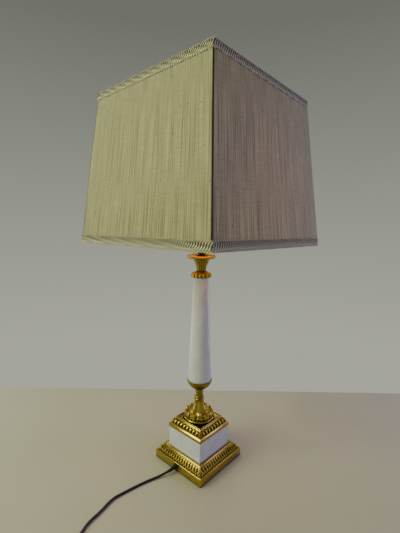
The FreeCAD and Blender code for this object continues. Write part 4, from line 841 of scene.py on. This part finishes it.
capSet = {
    "outline": (
        (49.2, 76), (49.5, 76.3), (49.5, 81.6), (49.1, 82.3), (47.8, 84.4), (46.6, 85.6), (45.2, 86),
        (38.6, 94.2), (38.9, 95), (38.3, 96.2), (37.5, 97), (37.5, 99.3), (37, 99.9), (35.9, 100),
        (35.3, 99.6), (35.3, 98),
    ),
    "tongues": {"count": 8, "pitch": 9.4, "half": 42.4, "level": 89.6, "width": 6.2,
                "length": 12.4, "height": 2.8, "corner": True},
    "darts": {"count": 9, "pitch": 9.4, "half": 42.6, "level": 89.2, "width": 1.9,
              "length": 10.6, "height": 1.9, "corner": False},
    "tilt": 52,
    "cornerGrowth": 1.35,
}
capBody = squared("capBody", capSet["outline"])
applyModifier(capBody, "BEVEL", {"width": 0.3 * mm, "segments": 2, "limit_method": "ANGLE"})
rows = []
for key in ("tongues", "darts"):
    row = capSet[key]
    shape = tongue("tongueShape", row["width"], row["length"], row["height"])
    rows += ringOfTongues(shape, row, capSet["tilt"], capSet["cornerGrowth"])
    dropPiece(shape)
upperPlinthBrass = joined("upperPlinthBrass", [capBody] + rows)
tidyMesh(upperPlinthBrass)
useMaterial(upperPlinthBrass, chasedBrass)
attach(upperPlinthBrass, "lamp")
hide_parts("upper_plinth")
print("plinth castings made")

# foot: beaded ring, a cup of curled leaves, and a fluted trumpet rising out of it

footSet = {
    "sides": 144,
    "outline": (
        (6, 98), (31.6, 98), (33.6, 98.6), (34.5, 100), (34.4, 102), (33.4, 103.4), (31.6, 104),
        (31.8, 105), (33.2, 106.4), (33.7, 108.4), (33.2, 110.8), (32.2, 113), (31.2, 115),
        (30.6, 116.2), (29.6, 116.6), (28.6, 116), (27.6, 114), (26.4, 111.6), (24.4, 110.4),
        (22.2, 110.6), (20.2, 113), (18.2, 116.4), (16.2, 120.4), (14.2, 125), (12.5, 129.6),
        (11.2, 133.6), (10.2, 137.2), (9.8, 139), (6, 139), (6, 98),
    ),
    "leaves": 12,
    "flutes": 8,
    "cupFoot": 104.5,
    "cupInside": 24,
    "trumpetFoot": 21.5,
    "rimFoot": 112.5,
    "neck": 9.9,
    "neckTop": 137.2,
    "beads": {"count": 30, "half": 32.4, "level": 100.9, "tilt": 78, "width": 6.6,
              "length": 5.6, "height": 2.2},
    # from the notch between two leaves to a leaf's middle: cup wall, and the rim's drop in mm
    "leafAcross": ((0.93, -4.6), (0.975, -2.6), (1.005, -1), (1.01, -0.2), (0.99, 0.2),
                   (0.975, 0.5), (0.97, 0.6)),
    # from a flute's crest to its middle
    "fluteAcross": (1.06, 1.03, 0.98, 0.94, 0.91, 0.89, 0.88, 0.875, 0.87, 0.87),
}


footBody = turned("footBody", footSet["sides"], footSet["outline"])
editPiece(footBody)
for phase, factor in enumerate(footSet["fluteAcross"]):
    pick(
        footBody, "VERT",
        lambda p: footSet["neck"] * mm < p.xy.length < footSet["trumpetFoot"] * mm
        and footSet["cupFoot"] * mm < p.z < footSet["neckTop"] * mm
        and onPhase(p, footSet["sides"], footSet["flutes"], phase),
    )
    grow(factor, factor, 1)
for phase, (wall, drop) in enumerate(footSet["leafAcross"]):
    for foot, shift, factor in ((footSet["rimFoot"], drop, 1), (footSet["cupFoot"], 0, wall)):
        pick(
            footBody, "VERT",
            lambda p: p.xy.length > footSet["cupInside"] * mm and p.z > foot * mm
            and onPhase(p, footSet["sides"], footSet["leaves"], phase),
        )
        slide(0, 0, shift)
        grow(factor, factor, 1)
bpy.ops.object.mode_set(mode="OBJECT")

row = footSet["beads"]
beadShape = tongue("beadShape", row["width"], row["length"], row["height"])
beads = copyAt(
    beadShape,
    [
        turnAbout("Z", 360 * i / row["count"])
        @ Matrix.Translation((0, -row["half"] * mm, row["level"] * mm))
        @ turnAbout("X", row["tilt"])
        for i in range(row["count"])
    ],
)
dropPiece(beadShape)

footBrass = joined("footBrass", [footBody] + beads)
tidyMesh(footBrass, 50)
useMaterial(footBrass, chasedBrass)
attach(footBrass, "lamp")
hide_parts("foot")

# collar, tulip and dish over the column

collarSet = {
    "sides": 96,
    "outline": (
        (6, 417.1), (9, 417.1), (11, 419), (12.5, 424.4), (16.5, 424.6), (19.6, 424.2), (22, 425.4),
        (23.2, 427.4), (23, 429.6), (21.6, 432.2), (19, 434.8), (15.4, 437), (11.8, 438.1), (6, 438.1),
        (6, 417.1),
    ),
    "flutes": 16,
    "fluted": (424.0, 437.2),
    "fluteDepth": (0.86, 0.95, 1, 1),
}
collarBrass = turned("collarBrass", collarSet["sides"], collarSet["outline"])
flute(collarBrass, collarSet)
tidyMesh(collarBrass, 60)
useMaterial(collarBrass, chasedBrass)
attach(collarBrass, "lamp")
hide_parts("collar")

tulipSet = {
    "sides": 108,
    "outline": (
        (5.3, 441.5), (10.3, 441.5), (10.9, 443.2), (11.4, 446), (12.1, 449.4), (13.2, 453), (14.6, 456.6),
        (16.2, 460), (17.5, 462.2), (18.2, 463.2), (18.2, 464), (5.3, 464), (5.3, 441.5),
    ),
    "flutes": 18,
    "fluted": (442.5, 462.6),
    "fluteDepth": (0.88, 0.95, 1, 1),
}
tulipBrass = turned("tulipBrass", tulipSet["sides"], tulipSet["outline"])
flute(tulipBrass, tulipSet)
tidyMesh(tulipBrass, 60)
useMaterial(tulipBrass, chasedBrass)
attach(tulipBrass, "lamp")
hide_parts("tulip")

dishSet = {
    "sides": 96,
    "outline": (
        (5.3, 464), (18, 464), (22.6, 464.6), (27.2, 465.6), (30, 466.8), (31.6, 468.6), (31.9, 470.4),
        (31, 472), (29, 473), (26, 473.9), (21.6, 475), (17.4, 476.1), (13, 476.9), (10.4, 476.9),
        (10.2, 473.4), (5.3, 473.4), (5.3, 464),
    ),
    "flutes": 12,
    "fluted": (464.5, 475),
    "fluteDepth": (0.95, 0.965, 0.985, 1, 1),
}
dishBrass = turned("dishBrass", dishSet["sides"], dishSet["outline"])
flute(dishBrass, dishSet)
tidyMesh(dishBrass, 60)
useMaterial(dishBrass, chasedBrass)
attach(dishBrass, "lamp")
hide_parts("drip_dish")
print("foot and collar castings made")

# shade panels: stretched silk on a stiff lining

shadeSet = {
    "foot": 497,
    "top": 801,
    "footHalf": 181.4,
    "topHalf": 151.4,
    "inCorner": 1.2,
    "thick": 1.0,
    "across": 44,
    "up": 44,
    "hem": (516.4, 520.6),
    "hemThick": 0.5,
    "dip": 1.2,
}
lean = (shadeSet["footHalf"] - shadeSet["topHalf"]) / (shadeSet["top"] - shadeSet["foot"])
leanAngle = math.degrees(math.atan(lean))


def shadeHalf(level):
    return shadeSet["footHalf"] - lean * (level - shadeSet["foot"])


tall = shadeSet["top"] - shadeSet["foot"]
release()
bpy.ops.mesh.primitive_grid_add(
    x_subdivisions=shadeSet["across"], y_subdivisions=shadeSet["up"], size=1,
    rotation=(math.radians(90), 0, 0),
)
panelShape = bpy.context.object
bpy.ops.object.transform_apply(location=True, rotation=True, scale=True)
bpy.ops.object.mode_set(mode="EDIT")
bpy.ops.mesh.select_all(action="SELECT")
grow(2 * (shadeSet["footHalf"] - shadeSet["inCorner"]) * mm, 1, tall * mm)
slide(0, 0, shadeSet["foot"] + tall / 2)
for level in shadeSet["hem"]:
    bpy.ops.mesh.select_all(action="SELECT")
    bpy.ops.mesh.bisect(plane_co=(0, 0, level * mm), plane_no=(0, 0, 1))
bpy.ops.object.mode_set(mode="OBJECT")
weaveMap = panelShape.data.uv_layers[0]
weaveMap.name = "weave"
for loop in panelShape.data.loops:
    spot = panelShape.data.vertices[loop.vertex_index].co
    weaveMap.data[loop.index].uv = (spot.x, spot.z)
# taper to the top, lean in, and a slight dip of the cloth between its wires
for vertex in panelShape.data.vertices:
    level = vertex.co.z / mm
    across = vertex.co.x / mm / (shadeSet["footHalf"] - shadeSet["inCorner"])
    rise = (level - shadeSet["foot"]) / tall
    slack = shadeSet["dip"] * (1 - across**2) * math.sin(math.pi * rise)
    vertex.co.x *= (shadeHalf(level) - shadeSet["inCorner"]) / (shadeSet["footHalf"] - shadeSet["inCorner"])
    vertex.co.y = (-shadeHalf(level) + slack) * mm
applyModifier(panelShape, "SOLIDIFY", {"thickness": shadeSet["thick"] * mm, "offset": 1})
editPiece(panelShape)
bpy.ops.mesh.select_all(action="SELECT")
bpy.ops.mesh.normals_make_consistent(inside=False)
hemLow, hemHigh = shadeSet["hem"]
mesh = bmesh.from_edit_mesh(panelShape.data)
bpy.ops.mesh.select_mode(type="FACE")
bpy.ops.mesh.select_all(action="DESELECT")
for face in mesh.faces:
    middle = face.calc_center_median()
    face.select_set(hemLow * mm < middle.z < hemHigh * mm and face.normal.y < -0.5)
bmesh.update_edit_mesh(panelShape.data)
bpy.ops.mesh.extrude_region_shrink_fatten(TRANSFORM_OT_shrink_fatten={"value": shadeSet["hemThick"] * mm})
bpy.ops.object.mode_set(mode="OBJECT")
bpy.ops.object.shade_smooth_by_angle(angle=math.radians(50))
useMaterial(panelShape, slubSilk)

panelTurns = {"panel_front": 0, "panel_right": 90, "panel_back": 180, "panel_left": 270}
weaveShift = {"panel_front": 0.0, "panel_right": 0.71, "panel_back": 1.43, "panel_left": 2.19}
panelNames = {
    "panel_front": "silkFront",
    "panel_right": "silkRight",
    "panel_back": "silkBack",
    "panel_left": "silkLeft",
}
for node, degrees in panelTurns.items():
    panel = copyAt(panelShape, [turnAbout("Z", degrees)])[0]
    panel = joined(panelNames[node], [panel])
    for loop in panel.data.uv_layers["weave"].data:
        loop.uv.x += weaveShift[node]
    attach(panel, "shade")
    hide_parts(node)
dropPiece(panelShape)
print("shade panels made")

# braid bands: a dark woven ground that partly paints the shade between the cords, slanted cords, loops along
# both edges

trims = {
    "bottom": {"low": 497.2, "high": 514.8, "face": 182.1, "scale": 1.0, "node": "bottom_trim",
               "name": "braidFoot"},
    "top": {"low": 785.2, "high": 800.8, "face": 154.4, "scale": 0.88, "node": "top_trim",
            "name": "braidTop"},
}
braidShape = {
    "pitch": 5.5,
    "path": ((-1.9, 1.6, 2.0), (-1.7, 3.4, 2.2), (-1.0, 5.6, 2.1), (0.0, 7.8, 1.8), (1.1, 10.0, 1.5),
             (2.0, 12.2, 1.35), (2.5, 14.2, 1.2)),
    "sides": 6,
    "flat": 0.5,
    "loopRadius": 2.2,
    "loopCord": 0.75,
}
for key, trim in trims.items():
    scale = trim["scale"]
    height = trim["high"] - trim["low"]
    halfLow = trim["face"]
    count = int(2 * halfLow / (braidShape["pitch"] * scale))
    pitch = 2 * (halfLow - 1.0) / count
    release()
    path = braidShape["path"]
    bpy.ops.mesh.primitive_circle_add(
        vertices=braidShape["sides"], radius=path[0][2] * scale * mm, fill_type="NGON"
    )
    strand = bpy.context.object
    bpy.ops.object.mode_set(mode="EDIT")
    grow(1, braidShape["flat"], 1)
    slide(path[0][0] * scale, 0, path[0][1] * scale)
    for (x0, z0, r0), (x1, z1, r1) in zip(path, path[1:]):
        shift = ((x1 - x0) * scale * mm, 0, (z1 - z0) * scale * mm)
        bpy.ops.mesh.extrude_region_move(TRANSFORM_OT_translate={"value": shift})
        grow(r1 / r0, r1 / r0, 1, about=(x1 * scale, 0, z1 * scale))
    tidyMesh(strand, 60)
    release()
    bpy.ops.mesh.primitive_torus_add(
        major_segments=12, minor_segments=5, major_radius=braidShape["loopRadius"] * scale * mm,
        minor_radius=braidShape["loopCord"] * scale * mm, rotation=(math.radians(90), 0, 0),
    )
    loop = bpy.context.object
    bpy.ops.object.transform_apply(location=True, rotation=True, scale=True)
    lower = copyAt(loop, [Matrix.Translation((0, 0, 2.6 * scale * mm))])[0]
    upperPlace = Matrix.Translation((2.4 * scale * mm, 0, (height - 1.9 * scale) * mm))
    upper = copyAt(loop, [upperPlace @ Matrix.Diagonal((0.9, 1, 0.7, 1))])[0]
    dropPiece(loop)
    cell = joined("braidCell", [strand, lower, upper])
    setPlace(cell, Matrix.Translation((-(count - 1) / 2 * pitch * mm, 0, 0)))
    applyModifier(
        cell, "ARRAY",
        {"count": count, "use_relative_offset": False, "use_constant_offset": True,
         "constant_offset_displace": (pitch * mm, 0, 0)},
    )
    bpy.ops.object.shade_smooth()
    useMaterial(cell, gimpCord)

    release()
    bpy.ops.mesh.primitive_cube_add(size=1)
    band = bpy.context.object
    bpy.ops.object.mode_set(mode="EDIT")
    grow(2 * halfLow * mm, 0.8 * mm, (height - 2.6 * scale) * mm)
    slide(0, 0.1, height / 2)
    pick(band, "FACE", lambda p: p.z > (height - 3) * mm)
    grow((halfLow - lean * height) / halfLow, 1, 1)
    bpy.ops.object.mode_set(mode="OBJECT")
    applyModifier(band, "BEVEL", {"width": 0.2 * mm, "segments": 1})
    # the dark band behind the cords: partly dark thread, partly painted shade in the gaps between them
    useMaterial(band, braidGroundGapShade)

    lie = Matrix.Translation((0, -halfLow * mm, trim["low"] * mm)) @ turnAbout("X", -leanAngle)
    sides = []
    for quarter in range(4):
        sides += copyAt(cell, [turnAbout("Z", 90 * quarter) @ lie])
        sides += copyAt(band, [turnAbout("Z", 90 * quarter) @ lie])
    dropPiece(cell)
    dropPiece(band)
    braid = joined(trim["name"], sides)
    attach(braid, "shade")
    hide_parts(trim["node"])
print("braids made")

# piping on the four corners: two plies twisted

pipingSet = {"ply": 0.75, "lay": 6.0, "low": 514.5, "high": 785.5, "inset": 0.3, "steps": 8,
             "sides": 7}
release()
plies = []
for side in (-1, 1):
    bpy.ops.mesh.primitive_circle_add(
        vertices=pipingSet["sides"], radius=pipingSet["ply"] * mm,
        location=(side * pipingSet["ply"] * mm, 0, 0),
    )
    plies.append(bpy.context.object)
twist = joined("pipingTwist", plies)
cornerLean = math.degrees(math.atan(lean * math.sqrt(2)))
run = (pipingSet["high"] - pipingSet["low"]) / math.cos(math.radians(cornerLean))
turns = round(run / pipingSet["lay"])
applyModifier(
    twist, "SCREW",
    {"angle": math.tau, "screw_offset": run / turns * mm, "iterations": turns, "steps": pipingSet["steps"],
     "render_steps": pipingSet["steps"], "use_merge_vertices": True},
)
reach = (shadeHalf(pipingSet["low"]) - pipingSet["inset"]) * math.sqrt(2) * mm
corners = [
    turnAbout("Z", 45 + 90 * quarter) @ Matrix.Translation((0, -reach, pipingSet["low"] * mm))
    @ turnAbout("X", -cornerLean)
    for quarter in range(4)
]
parts = copyAt(twist, corners)
dropPiece(twist)
cornerCord = joined("cornerCord", parts)
tidyMesh(cornerCord, 70)
useMaterial(cornerCord, pipingYarn)
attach(cornerCord, "shade")
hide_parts("corner_piping")
print("piping made")
